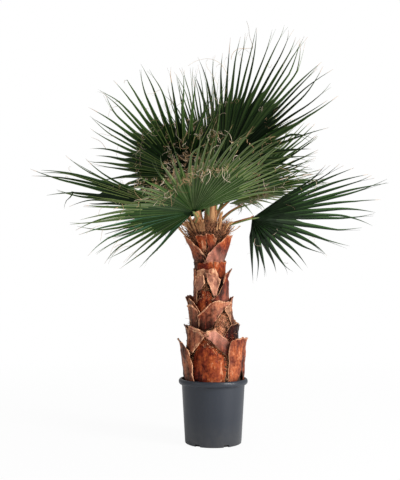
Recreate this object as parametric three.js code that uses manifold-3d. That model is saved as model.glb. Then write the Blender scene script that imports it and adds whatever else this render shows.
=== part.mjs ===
// Potted fan palm, millimetres, +Z up.
// Origin: centre of the pot's flat underside. -Y is the front, +X the right.
// The pot is filled with soil; a tapering trunk stands in it, clad in tiers
// of old leaf bases, and carries a crown of fan fronds on slim stems.
import * as THREE from 'three';
import { mergeVertices } from 'three/addons/utils/BufferGeometryUtils.js';
import Module from 'manifold-3d';

const wasm = await Module();
wasm.setup();

// ---------------------------------------------------------------- dimensions
const CLEAR = 0.35; // air left between neighbouring solids

const POT = {
  height: 225,
  footRadius: 100,
  bodyRadius: 112,
  rimRadius: 123,
  rimDepth: 20,
  wall: 3,
  floor: 4,
  segments: 56,
  notches: 6,
  notchAzimuth: 26,
  notchWidth: 19,
  notchHeight: 8,
  notchDepth: 10,
};

const SOIL = { socketGap: 0.8, shoulder: 203.5 };

// radius of the bare stem at each height, and how far its axis has leant over
const TRUNK = {
  segments: 30,
  profile: [
    [90, 152], [96, 204], [99, 240], [92, 302], [76, 368], [68, 410], [60, 462],
    [53, 512], [48, 566], [43, 618], [42, 642], [50, 664], [55, 686], [57, 728], [60, 746],
    [55, 766], [40, 780], [20, 788],
  ],
  crownTop: 790,
  leanFrom: 207,
  leanTo: 747,
  leanX: -17,
};

// tiers of leaf bases, lowest first: each base is a curved shield with a split
// foot; its right edge rides over the left edge of its neighbour, and its lip
// stands out over the foot of the tier above
const BOOT = { thickness: 3.6, seat: 1.7, ramp: 6, across: 6, up: 4 };
// how much a base may differ from its row: degrees round, lip height, shares
const UNEVEN = { turn: 2, lip: 10, flare: 0.16, split: 0.3 };
const TIERS = [
  { count: 5, azimuth: -7, foot: 205, lip: 358, footHalf: 41, lipHalf: 19, flare: 32, arch: 6, split: 60, front: { footHalf: 30, lipHalf: 15, flare: 0, arch: 24, split: 18 } },
  { count: 5, azimuth: -22, foot: 314, lip: 412, footHalf: 41, lipHalf: 24, flare: 19, arch: 3, split: 50, front: { seat: 14.7, flare: 7, arch: -7, split: 72 } },
  { count: 5, azimuth: 26, foot: 395, lip: 506, footHalf: 41, lipHalf: 25, flare: 19, arch: 4, split: 54, front: { lipHalf: 31, split: 78 } },
  { count: 5, azimuth: -14, foot: 488, lip: 638, footHalf: 41, lipHalf: 25, flare: 14, arch: 3, split: 70, front: { split: 44 } },
  { count: 5, azimuth: -9, foot: 626, lip: 728, footHalf: 41, lipHalf: 20, flare: 20, arch: 4, split: 44, front: { split: 12 } },
];
// a dry husk that still hangs in front of the fourth tier
const HUSK = { count: 1, azimuth: -14, seat: 14.3, foot: 518, lip: 612, footHalf: 36, lipHalf: 27, flare: 9.6, arch: -4, split: 66 };

// fronds: hub = where the stem meets the blade; az 0 faces the front, 90 the
// right; el above the level; roll turns the blade about its middle line; half
// is the fan's half angle; fold lifts its two sides; short trims the outer
// leaflets; droop and bend curve them; root = azimuth, distance from the axis,
// height and slope of the stem's foot
const FRONDS = [
  { name: 'front', hub: [-67, -200, 809], az: -28, el: 23, roll: 27, half: 108, reach: 420, count: 28, fold: 16, short: 0.2, droop: 0.02, bend: 0.5, seed: 3, root: [-14, 36, 772, 15] },
  { name: 'right_low', hub: [137, -60, 792], az: 108, el: 13, roll: -29, half: 77, reach: 500, count: 24, fold: 0, short: 0.25, droop: 0.29, bend: 0.08, seed: 4, root: [88, 38, 766, 12] },
  { name: 'back_right', hub: [36, 90, 999], az: 68, el: 54, roll: 57, half: 76, reach: 551, count: 26, fold: 5, short: 0.12, droop: 0.02, bend: -0.08, seed: 5, root: [80, 22, 782, 80] },
  { name: 'back_left', hub: [-103, 60, 964], az: -80, el: 41, roll: 31, half: 92, reach: 445, count: 26, fold: 0, short: 0.1, droop: 0.02, bend: -0.19, seed: 6, root: [-110, 24, 782, 78] },
  { name: 'left', hub: [-161, 30, 852], az: -88, el: 10, roll: 8, half: 50, reach: 500, count: 20, fold: 4, short: 0.25, droop: 0.18, bend: 0, seed: 7, root: [-85, 38, 770, 32] },
  { name: 'right', hub: [105, 60, 848], az: 112, el: 18, roll: 0, half: 50, reach: 389, count: 20, fold: 8, short: 0.15, droop: 0.22, bend: 0.1, seed: 8, root: [128, 36, 774, 40] },
  { name: 'right_rear', hub: [73, 80, 884], az: 104, el: 53, roll: 18, half: 64, reach: 401, count: 24, fold: 6, short: 0.15, droop: 0.01, bend: 0.05, seed: 12, root: [140, 21, 782, 66] },
  { name: 'spear', hub: [-22, 0, 910], az: -40, el: 80, roll: 0, half: 34, reach: 430, count: 14, fold: 14, short: 0.15, droop: 0, bend: 0.12, seed: 9, root: [0, 0, 785, 90] },
  { name: 'rear_left', hub: [-59, 200, 828], az: -162, el: 11, roll: -22, half: 80, reach: 439, count: 22, fold: 8, short: 0.25, droop: 0.12, bend: 0.05, seed: 13, root: [-160, 38, 768, 20] },
  { name: 'rear_right', hub: [46, 145, 884], az: 166, el: 27, roll: -11, half: 82, reach: 437, count: 22, fold: 8, short: 0.25, droop: 0.29, bend: 0.05, seed: 14, root: [158, 38, 772, 38] },
  { name: 'rear', hub: [-4, 131, 969], az: 174, el: 42, roll: -24, half: 80, reach: 459, count: 24, fold: 6, short: 0.2, droop: 0.05, bend: 0.05, seed: 15, root: [-168, 23, 782, 72] },
];
const LEAFLET = {
  steps: 24, // pieces each leaflet's curve is walked in
  web: 11, // step at mid web and step where the leaflets part
  mid: 6,
  tail: 18, // last full section before the tip
  hubTop: 3.5,
  hubUnder: 7,
  thickness: 5.2,
  pleat: 3.2,
  tailWidth: 0.34, // half width at the tail, of the spacing at the split
  tailDepth: 5.2,
};
const STEM = { footWidth: 21, hubWidth: 9, footDepth: 11, hubDepth: 8, stations: 8, pull: 0.38 };
// section of stems and stumps, in half widths and depths: channelled above
const BAR_SECTION = [[-1, 0.22], [0, 0.3], [1, 0.22], [0.62, -0.42], [0, -0.7], [-0.62, -0.42]];
const STUMP_TAPER = 0.35;

// cut stumps of removed fronds around the crown: azimuth, distance from the
// axis, foot height, length, lean outwards, width, depth
const STUMPS = [
  { azimuth: 15, out: 50, foot: 768, length: 74, lean: 4, width: 25, depth: 9 },
  { azimuth: -38, out: 50, foot: 764, length: 58, lean: 18, width: 27, depth: 9 },
  { azimuth: -72, out: 52, foot: 754, length: 58, lean: 66, width: 22, depth: 8 },
  { azimuth: 58, out: 52, foot: 754, length: 50, lean: 62, width: 22, depth: 8 },
  { azimuth: 43, out: 48, foot: 766, length: 50, lean: 24, width: 18, depth: 8 },
  { azimuth: -105, out: 52, foot: 756, length: 52, lean: 50, width: 22, depth: 8 },
  { azimuth: 148, out: 52, foot: 756, length: 50, lean: 52, width: 22, depth: 8 },
  { azimuth: -134, out: 52, foot: 756, length: 56, lean: 54, width: 24, depth: 9 },
];

const PAINT = {
  pot: { color: 0x3e444b, roughness: 0.45, metalness: 0 },
  soil: { color: 0x3a2a1e, roughness: 1, metalness: 0 },
  trunk: { color: 0x6b4a32, roughness: 0.95, metalness: 0 },
  boot: { color: 0x8f4427, roughness: 0.8, metalness: 0 },
  stump: { color: 0xb07a4a, roughness: 0.8, metalness: 0 },
  stem: { color: 0x5f6f38, roughness: 0.6, metalness: 0 },
  blade: { color: 0x3c5236, roughness: 0.65, metalness: 0 },
};

// ------------------------------------------------------------------- helpers
const rad = THREE.MathUtils.degToRad;
const vec = (x, y, z) => new THREE.Vector3(x, y, z);
const UP = vec(0, 0, 1);
const toward = (azimuth, r, z, cx = 0) => vec(cx + r * Math.sin(rad(azimuth)), -r * Math.cos(rad(azimuth)), z);
const mix = (a, b, t) => a + (b - a) * t;
const smooth = (t) => { const c = Math.min(1, Math.max(0, t)); return c * c * (3 - 2 * c); };

function raw(points, faces) {
  const geometry = new THREE.BufferGeometry();
  geometry.setAttribute('position', new THREE.Float32BufferAttribute(points.flatMap((p) => [p.x, p.y, p.z]), 3));
  geometry.setIndex(faces.flat());
  return geometry;
}

// merge shared corners, drop flat triangles and turn the faces outwards
function closed(geometry) {
  geometry.deleteAttribute('normal');
  geometry.deleteAttribute('uv');
  const g = mergeVertices(geometry, 1e-4);
  const at = g.getAttribute('position');
  const corner = (i) => vec().fromBufferAttribute(at, i);
  const keep = [];
  let volume = 0;
  for (let i = 0; i < g.index.count; i += 3) {
    const [a, b, c] = [0, 1, 2].map((k) => g.index.getX(i + k));
    if (a === b || b === c || a === c) continue;
    keep.push(a, b, c);
    volume += corner(a).dot(corner(b).cross(corner(c)));
  }
  if (volume < 0) for (let i = 0; i < keep.length; i += 3) [keep[i], keep[i + 1]] = [keep[i + 1], keep[i]];
  g.setIndex(keep);
  return g;
}

function solid(geometry) {
  return new wasm.Manifold(new wasm.Mesh({
    numProp: 3,
    vertProperties: Float32Array.from(geometry.getAttribute('position').array),
    triVerts: Uint32Array.from(geometry.index.array),
  }));
}

function surface(body) {
  const mesh = body.getMesh();
  const geometry = new THREE.BufferGeometry();
  geometry.setAttribute('position', new THREE.BufferAttribute(Float32Array.from(mesh.vertProperties), 3));
  geometry.setIndex(new THREE.BufferAttribute(Uint32Array.from(mesh.triVerts), 1));
  return geometry;
}

function turned(profile, segments) {
  const g = new THREE.LatheGeometry(profile.map(([r, z]) => new THREE.Vector2(r, z)), segments);
  g.rotateX(Math.PI / 2);
  return closed(g);
}

// the same small generator gives every leaflet its own length and set
function dice(seed) {
  let state = seed >>> 0;
  return () => {
    state = (Math.imul(state, 1664525) + 1013904223) >>> 0;
    return state / 4294967296 - 0.5;
  };
}

// ----------------------------------------------------------------------- pot
function potGeometry() {
  const { height, footRadius, bodyRadius, rimRadius, rimDepth, wall, floor } = POT;
  const neck = height - rimDepth;
  const shell = solid(turned([
    [0, 0], [footRadius - 2, 0], [footRadius, 3], [bodyRadius, neck - 3], [rimRadius - 5, neck],
    [rimRadius - 2, neck + 4], [rimRadius - 2.5, height - 7], [rimRadius, height - 4],
    [rimRadius - 1.5, height - 0.6], [rimRadius - 5, height], [bodyRadius + 3, height - 2],
    [bodyRadius, neck - 2], [bodyRadius - wall, neck - 8],
    [footRadius - wall, floor + 2], [footRadius - wall - 3, floor], [0, floor],
  ], POT.segments));
  let body = shell;
  for (let i = 0; i < POT.notches; i += 1) {
    const box = new THREE.BoxGeometry(POT.notchWidth, POT.notchDepth * 2, POT.notchHeight * 2);
    box.translate(0, -footRadius, 0);
    box.rotateZ(rad(POT.notchAzimuth + (i * 360) / POT.notches));
    body = body.subtract(solid(closed(box)));
  }
  return surface(body);
}

function soilGeometry() {
  const top = POT.height - POT.rimDepth - 8;
  const r = (z) => mix(POT.footRadius, POT.bodyRadius, (z - POT.floor - 2) / (top - POT.floor - 2)) - POT.wall - CLEAR - 0.1;
  const [[deepRadius, deep], [neckRadius]] = TRUNK.profile;
  const socket = neckRadius + SOIL.socketGap;
  return turned([
    [0, POT.floor + CLEAR], [r(POT.floor) - 4, POT.floor + CLEAR], [r(POT.floor + 4), POT.floor + 4], [r(top), top],
    [mix(r(top), socket, 0.5), mix(top, SOIL.shoulder, 0.8)], [socket + 1, SOIL.shoulder], [socket, SOIL.shoulder],
    [deepRadius + SOIL.socketGap, deep - CLEAR], [0, deep - CLEAR],
  ], POT.segments);
}

// --------------------------------------------------------------------- trunk
function coreRadius(z) {
  const p = TRUNK.profile;
  for (let i = 1; i < p.length; i += 1) {
    if (z <= p[i][1]) return mix(p[i - 1][0], p[i][0], Math.max(0, (z - p[i - 1][1]) / (p[i][1] - p[i - 1][1])));
  }
  return p[p.length - 1][0];
}
const lean = (z) => TRUNK.leanX * smooth((z - TRUNK.leanFrom) / (TRUNK.leanTo - TRUNK.leanFrom));

function trunkGeometry(grow = 0) {
  const rings = TRUNK.profile.map(([r, z], i) => [r + grow, i === 0 ? z - grow : z]);
  const g = turned([[0, TRUNK.profile[0][1] - grow], ...rings, [0, TRUNK.crownTop + grow]], TRUNK.segments);
  const at = g.getAttribute('position');
  for (let i = 0; i < at.count; i += 1) at.setX(i, at.getX(i) + lean(at.getZ(i)));
  return g;
}

// ---------------------------------------------------------------- leaf bases
function bootGeometry(row, k, seed) {
  const roll = dice(seed);
  const tier = { seat: BOOT.seat, ...row, ...(k === 0 ? row.front : {}) };
  const { across, up, thickness, ramp } = BOOT;
  const azimuth = tier.azimuth + (k * 360) / tier.count + UNEVEN.turn * roll();
  const lip = tier.lip + UNEVEN.lip * roll();
  const flare = tier.flare * (1 + UNEVEN.flare * Math.max(0, roll()));
  const split = tier.split * (1 + UNEVEN.split * roll());
  const cols = Array.from({ length: across + 1 }, (_, i) => -1 + (2 * i) / across);
  const points = [];
  const shell = (depth) => {
    for (let j = 0; j <= up; j += 1) {
      for (const u of cols) {
        const foot = tier.foot + split * Math.max(0, 1 - Math.abs(u) / 0.5);
        const z = mix(foot, lip + tier.arch * (1 - u * u), j / up);
        const v = (z - tier.foot) / (tier.lip - tier.foot);
        const half = mix(tier.footHalf, tier.lipHalf, smooth(v) * 0.6 + v * v * 0.4);
        const out = coreRadius(z) + tier.seat + ramp * smooth((u + 1) / 2) + flare * v * v + depth;
        points.push(toward(azimuth + u * half, out, z, lean(z)));
      }
    }
  };
  shell(thickness);
  shell(0);
  const w = across + 1;
  const inner = w * (up + 1);
  const faces = [];
  const quad = (a, b, c, d) => faces.push([a, b, c], [a, c, d]);
  for (let j = 0; j < up; j += 1) {
    for (let i = 0; i < across; i += 1) {
      const a = j * w + i;
      quad(a, a + 1, a + w + 1, a + w);
      quad(inner + a + 1, inner + a, inner + a + w, inner + a + w + 1);
    }
    const l = j * w;
    const r = l + across;
    quad(l, l + w, inner + l + w, inner + l);
    quad(r + w, r, inner + r, inner + r + w);
  }
  for (let i = 0; i < across; i += 1) {
    const t = up * w + i;
    quad(i + 1, i, inner + i, inner + i + 1);
    quad(t, t + 1, inner + t + 1, inner + t);
  }
  return closed(raw(points, faces));
}

// -------------------------------------------------------------------- fronds
function bladeFrame(f) {
  const m = vec(Math.sin(rad(f.az)) * Math.cos(rad(f.el)), -Math.cos(rad(f.az)) * Math.cos(rad(f.el)), Math.sin(rad(f.el)));
  const n0 = UP.clone().addScaledVector(m, -m.z).normalize();
  const s0 = m.clone().cross(n0);
  const n = n0.multiplyScalar(Math.cos(rad(f.roll))).addScaledVector(s0, Math.sin(rad(f.roll)));
  return { m, n, s: m.clone().cross(n) };
}

// every leaflet's middle line, walked out from the hub in even steps
function leafletLines(f) {
  const { m, n, s } = bladeFrame(f);
  const roll = dice(f.seed);
  const lines = [];
  for (let i = 0; i < f.count; i += 1) {
    const u = -1 + (2 * (i + 0.5)) / f.count;
    const [turn, size, sag] = [roll(), roll(), roll()];
    const phi = rad(u * f.half + (turn * 0.35 * f.half * 2) / f.count);
    const side = u >= 0 ? 1 : -1;
    const d = m.clone().multiplyScalar(Math.cos(phi))
      .addScaledVector(s, Math.abs(Math.sin(phi)) * side * Math.cos(rad(f.fold)))
      .addScaledVector(n, Math.abs(Math.sin(phi)) * Math.sin(rad(f.fold)));
    const length = f.reach * (1 - f.short * Math.abs(u) ** 2.2) * (1 + 0.08 * size);
    const face = n.clone().multiplyScalar(Math.cos(rad(f.fold))).addScaledVector(s, -side * Math.sin(rad(f.fold)));
    const at = [vec(...f.hub)];
    const along = [d.clone()];
    for (let k = 0; k < LEAFLET.steps; k += 1) {
      const t = (k + 0.5) / LEAFLET.steps;
      const dir = d.clone().addScaledVector(UP, -f.droop * (1 + 0.5 * sag) * t ** 1.5).addScaledVector(n, -f.bend * t).normalize();
      along.push(dir);
      at.push(at[k].clone().addScaledVector(dir, length / LEAFLET.steps));
    }
    lines.push({ at, along, face });
  }
  return lines;
}

function bladeGeometry(f) {
  const lines = leafletLines(f);
  const { n } = bladeFrame(f);
  const N = f.count;
  const points = [];
  const faces = [];
  const add = (p) => points.push(p) - 1;
  const faceAt = (line, k) => line.face.clone().addScaledVector(line.along[k], -line.face.dot(line.along[k])).normalize();
  const hub = vec(...f.hub);
  const hubTop = add(hub.clone().addScaledVector(n, LEAFLET.hubTop));
  const hubUnder = add(hub.clone().addScaledVector(n, -LEAFLET.hubUnder));
  // pleated web: a row of points across the fan at a step, ridge, rib, ridge ...
  const row = (k, pleat, thickness) => {
    const top = [];
    const under = [];
    for (let j = 0; j <= 2 * N; j += 1) {
      let p;
      let face;
      let lift = -pleat;
      if (j % 2 === 1) {
        const line = lines[(j - 1) / 2];
        p = line.at[k].clone();
        face = faceAt(line, k);
      } else {
        const b = Math.min(N - 1, j / 2);
        const a = Math.max(0, j / 2 - 1);
        face = faceAt(lines[a], k).add(faceAt(lines[b], k)).normalize();
        if (a === b) {
          const inner = j === 0 ? lines[1] : lines[N - 2];
          p = lines[a].at[k].clone().addScaledVector(lines[a].at[k].clone().sub(inner.at[k]), 0.45);
        } else {
          p = lines[a].at[k].clone().add(lines[b].at[k]).multiplyScalar(0.5);
        }
        lift = pleat;
      }
      top.push(add(p.clone().addScaledVector(face, lift + thickness / 2)));
      under.push(add(p.clone().addScaledVector(face, lift - thickness / 2)));
    }
    return { top, under };
  };
  const mid = row(LEAFLET.mid, LEAFLET.pleat * 0.6, LEAFLET.thickness);
  const web = row(LEAFLET.web, LEAFLET.pleat, LEAFLET.thickness);
  const last = 2 * N;
  for (let j = 0; j < last; j += 1) {
    faces.push([hubTop, mid.top[j + 1], mid.top[j]], [hubUnder, mid.under[j], mid.under[j + 1]]);
    faces.push([mid.top[j], mid.top[j + 1], web.top[j + 1]], [mid.top[j], web.top[j + 1], web.top[j]]);
    faces.push([mid.under[j + 1], mid.under[j], web.under[j]], [mid.under[j + 1], web.under[j], web.under[j + 1]]);
  }
  faces.push([hubUnder, hubTop, mid.top[0]], [hubUnder, mid.top[0], mid.under[0]]);
  faces.push([mid.under[0], mid.top[0], web.top[0]], [mid.under[0], web.top[0], web.under[0]]);
  faces.push([hubTop, hubUnder, mid.under[last]], [hubTop, mid.under[last], mid.top[last]]);
  faces.push([mid.top[last], mid.under[last], web.under[last]], [mid.top[last], web.under[last], web.top[last]]);
  // free leaflets: three-sided, cut apart down to the rib, running to a point
  lines.forEach((line, i) => {
    const [a0, a1, a2, a3, a4, a5] = [web.top[2 * i], web.top[2 * i + 1], web.top[2 * i + 2], web.under[2 * i + 2], web.under[2 * i + 1], web.under[2 * i]];
    const k = LEAFLET.tail;
    const face = faceAt(line, k);
    const across = line.along[k].clone().cross(face).normalize();
    const width = points[a2].distanceTo(points[a0]) * LEAFLET.tailWidth;
    const left = add(line.at[k].clone().addScaledVector(across, -width).addScaledVector(face, LEAFLET.tailDepth / 2));
    const right = add(line.at[k].clone().addScaledVector(across, width).addScaledVector(face, LEAFLET.tailDepth / 2));
    const rib = add(line.at[k].clone().addScaledVector(face, -LEAFLET.tailDepth / 2));
    const tip = add(line.at[LEAFLET.steps].clone());
    faces.push([a0, a1, left], [a1, right, left], [a1, a2, right], [a2, a3, right]);
    faces.push([a3, a4, rib], [a3, rib, right], [a4, a5, rib], [a5, left, rib], [a5, a0, left]);
    faces.push([left, right, tip], [right, rib, tip], [rib, left, tip]);
  });
  return closed(raw(points, faces));
}

// a six-sided bar swept along a curve
function barGeometry(curve, stations, widthAt, depthAt, normalAt) {
  const points = [];
  const faces = [];
  for (let i = 0; i <= stations; i += 1) {
    const t = i / stations;
    const p = curve.getPointAt(t);
    const dir = curve.getTangentAt(t);
    const n = normalAt(t).addScaledVector(dir, -normalAt(t).dot(dir)).normalize();
    const s = dir.clone().cross(n);
    const w = widthAt(t) / 2;
    const d = depthAt(t);
    BAR_SECTION.forEach(([x, y]) => {
      points.push(p.clone().addScaledVector(s, x * w).addScaledVector(n, y * d));
    });
  }
  for (let i = 0; i < stations; i += 1) {
    for (let k = 0; k < 6; k += 1) {
      const a = i * 6 + k;
      const b = i * 6 + ((k + 1) % 6);
      faces.push([a, b, b + 6], [a, b + 6, a + 6]);
    }
  }
  const e = stations * 6;
  for (let k = 1; k < 5; k += 1) faces.push([0, k + 1, k], [e, e + k, e + k + 1]);
  return closed(raw(points, faces));
}

function stemGeometry(f, head) {
  const { m, n } = bladeFrame(f);
  const [azimuth, out, height, slope] = f.root;
  const start = toward(azimuth, out, height, lean(height));
  // a fan that opens past a half circle leaves the stem less room
  const off = CLEAR + 0.75 * STEM.hubWidth * Math.tan(rad(Math.max(0, f.half - 90)));
  const end = vec(...f.hub).addScaledVector(m, -off);
  const reach = start.distanceTo(end) * STEM.pull;
  const rise = toward(azimuth, Math.cos(rad(slope)), Math.sin(rad(slope)));
  const curve = new THREE.CubicBezierCurve3(start, start.clone().addScaledVector(rise, reach), end.clone().addScaledVector(m, -reach), end);
  const inward = toward(azimuth, -Math.sin(rad(slope)), Math.cos(rad(slope)) + 1e-3);
  const bar = barGeometry(
    curve, STEM.stations,
    (t) => mix(STEM.footWidth, STEM.hubWidth, t ** 0.6),
    (t) => mix(STEM.footDepth, STEM.hubDepth, t),
    (t) => inward.clone().lerp(n, smooth(t)),
  );
  return surface(solid(bar).subtract(head));
}

function stumpGeometry(b, head) {
  const start = toward(b.azimuth, b.out, b.foot, lean(b.foot));
  const dir = toward(b.azimuth, Math.sin(rad(b.lean)), Math.cos(rad(b.lean)));
  const curve = new THREE.LineCurve3(start, start.clone().addScaledVector(dir, b.length));
  const inward = toward(b.azimuth, -Math.cos(rad(b.lean)), Math.sin(rad(b.lean)));
  const bar = barGeometry(curve, 2, (t) => b.width * (1 - STUMP_TAPER * t), () => b.depth, () => inward.clone());
  return surface(solid(bar).subtract(head));
}

// ------------------------------------------------------------------ assembly
const palm = new THREE.Group();
palm.name = 'fan_palm';
function place(name, geometry, paint) {
  const mesh = new THREE.Mesh(geometry, new THREE.MeshStandardMaterial(paint));
  mesh.name = name;
  palm.add(mesh);
  return mesh;
}

const head = solid(trunkGeometry(CLEAR));
place('pot', potGeometry(), PAINT.pot);
place('potting_soil', soilGeometry(), PAINT.soil);
place('trunk', trunkGeometry(), PAINT.trunk);
TIERS.forEach((tier, t) => {
  for (let k = 0; k < tier.count; k += 1) place(`leaf_base_${t + 1}${'abcdef'[k]}`, bootGeometry(tier, k, 40 + t * 10 + k), PAINT.boot);
});
place('leaf_base_husk', bootGeometry(HUSK, 0, 97), PAINT.boot);
STUMPS.forEach((b, i) => place(`stem_stump_${i + 1}`, stumpGeometry(b, head), PAINT.stump));
FRONDS.forEach((f) => {
  place(`stem_${f.name}`, stemGeometry(f, head), PAINT.stem);
  place(`blade_${f.name}`, bladeGeometry(f), PAINT.blade);
});

export default palm;
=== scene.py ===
# A potted fan palm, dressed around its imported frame. The tables below are in
# millimetres, as the frame's source has them; every mesh is made in metres.
import math

import bpy
import numpy as np
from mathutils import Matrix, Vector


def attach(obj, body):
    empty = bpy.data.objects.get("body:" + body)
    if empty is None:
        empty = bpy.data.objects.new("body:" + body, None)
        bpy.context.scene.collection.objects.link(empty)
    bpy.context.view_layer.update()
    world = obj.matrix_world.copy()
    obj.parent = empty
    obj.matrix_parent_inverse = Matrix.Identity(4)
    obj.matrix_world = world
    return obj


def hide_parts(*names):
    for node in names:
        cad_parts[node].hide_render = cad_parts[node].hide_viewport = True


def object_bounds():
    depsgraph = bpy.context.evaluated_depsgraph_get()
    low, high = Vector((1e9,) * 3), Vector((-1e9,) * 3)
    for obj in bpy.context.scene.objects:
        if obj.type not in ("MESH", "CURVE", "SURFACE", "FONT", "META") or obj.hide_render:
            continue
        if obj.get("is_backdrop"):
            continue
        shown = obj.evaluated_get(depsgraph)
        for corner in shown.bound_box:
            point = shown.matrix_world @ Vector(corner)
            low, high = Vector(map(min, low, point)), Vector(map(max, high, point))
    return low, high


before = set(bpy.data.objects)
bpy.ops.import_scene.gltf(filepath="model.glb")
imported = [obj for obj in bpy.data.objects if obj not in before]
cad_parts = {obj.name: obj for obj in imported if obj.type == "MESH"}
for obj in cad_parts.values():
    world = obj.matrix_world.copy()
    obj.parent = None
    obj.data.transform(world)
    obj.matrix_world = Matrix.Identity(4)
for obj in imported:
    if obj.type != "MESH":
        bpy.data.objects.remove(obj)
CAD_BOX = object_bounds()

bl_info = {
    "name": "Potted fan palm",
    "version": (1, 0, 0),
    "blender": (4, 5, 0),
    "location": "View3D > Sidebar > Palm",
    "description": "Pot, soil, trunk, leaf bases, fibre, stems, blades and threads of a fan palm",
    "category": "Add Mesh",
}

MM = 0.001
UP = np.array([0, 0, 1.0])
PIECES = (
    "stage", "pot", "soil", "trunk", "leaf_bases", "fibre", "stems", "stumps", "blades", "threads",
)

# where each piece's random draws start
SEEDS = {
    "lumps": 5, "small_lumps": 6, "crumbs": 61, "bark": 21, "bases": 40, "sheets": 200, "wrinkles": 31,
    "fibre": 71, "crown": 72, "net": 73, "gaps": 75, "gap_paths": 76, "teeth": 300, "stumps": 500,
    "fray": 520, "leaflets": 1000, "threads": 88, "thread_paths": 89,
}

# ------------------------------------------------------------------ the plant
POT = {
    "height": 225, "foot": 100, "body": 112, "rim": 123, "rim_depth": 20, "wall": 3, "floor": 4,
    "notches": 6, "notch_azimuth": 26, "notch": (20, 20, 16), "notch_round": 2.5, "segments": 120,
}
# height of the soil's shoulder at the trunk and of its edge at the pot, how lumpy
# it is, how many crumbs lie on it, and where they are heaped up and how high
SOIL = {
    "gap": 0.8, "shoulder": 203.5, "edge": 194, "segments": 180, "lump": 2.6,
    "crumbs": 420, "heap_azimuth": 21, "heap": 16,
}
# steps along a crumb and how wide it is there, in its own half sizes; shares of
# earth, bark and chips on the soil and in the gaps of the trunk
CRUMB_RINGS = ((-0.9, 0.35), (-0.3, 1.0), (0.45, 0.85), (0.9, 0.3))
CRUMB_KINDS = {"soil": (0.66, 0.28, 0.06), "gaps": (0.15, 0.45, 0.4)}

# radius of the bare stem at each height, and how far its axis has leant over
TRUNK_RADIUS = (90, 96, 99, 92, 76, 68, 60, 53, 48, 43, 42, 50, 55, 57, 60, 55, 40, 20)
TRUNK_HEIGHT = (152, 204, 240, 302, 368, 410, 462, 512, 566, 618, 642, 664, 686, 728, 746, 766, 780, 788)
CROWN_TOP = 790
LEAN = {"from": 207, "to": 747, "x": -17}
TRUNK_MESH = {"around": 180, "step": 3.5}

# seat = how far a base stands off the stem, ramp = how much more on one side,
# to overlap the next; rim = width of the papery edge, roll = how far it turns
# out; worn = a painted highlight, a pale pinkish sheen; across, up = how fine
# its mesh is
BOOT = {
    "thickness": 3.0, "seat": 1.9, "ramp": 6, "rim": 4, "roll": 3.0, "worn": 0, "across": 28, "up": 36,
}
EDGE_ROLL = {"side": 2.4, "side_reach": 3.0, "top_reach": 5.0}
UNEVEN = {"turn": 2, "lip": 10, "flare": 0.16, "split": 0.3}
# rows of leaf bases, lowest first: azimuth of the first, heights of foot and lip,
# half widths there in degrees, how far the lip stands out, arches and splits;
# warm, dry = how orange and how papery each base of the row is
TIER_FIELDS = (
    "azimuth", "foot", "lip", "foot_half", "lip_half", "flare", "arch", "split", "warm", "dry",
)
TIERS = tuple(dict(zip(TIER_FIELDS, row)) for row in (
    (-7, 205, 358, 41, 19, 32, 6, 60, (0.72, 0.6, 0.5, 0.55, 0.45), (0, 0.1, 0.1, 0.1, 0.25)),
    (-22, 314, 412, 41, 24, 19, 3, 50, (0.34, 0.02, 0.5, 0.4, 0.3), (0.45, 0, 0.1, 0.2, 0.1)),
    (26, 395, 506, 41, 25, 19, 4, 54, (0.42, 0.5, 0.4, 0.5, 0.25), (0.3, 0.1, 0.2, 0.1, 0.3)),
    (-14, 488, 638, 41, 25, 14, 3, 70, (0.85, 0.45, 0.6, 0.5, 0.5), (0, 0.15, 0.1, 0.1, 0.25)),
    (-9, 626, 728, 41, 20, 20, 4, 44, (0.78, 0.36, 0.6, 0.5, 0.32), (0, 0, 0.1, 0.1, 0.1)),
))
# what some bases at the sides have of their own, to meet those in front
OWN = {
    "leaf_base_1b": {"foot_half": 36, "lip_half": 33, "late": 4},
    "leaf_base_1e": {"late": 4},
    "leaf_base_2b": {"azimuth": -9, "lip_half": 20, "late": 3, "rim": 1},
    "leaf_base_2e": {"lip_half": 27, "late": 3},
    "leaf_base_3e": {"azimuth": 6, "lip_half": 12, "late": 3, "warm": 0.2},
    "leaf_base_4e": {"lip": 606, "flare": 4, "lip_half": 34, "roll": 1.2},
}
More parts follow.
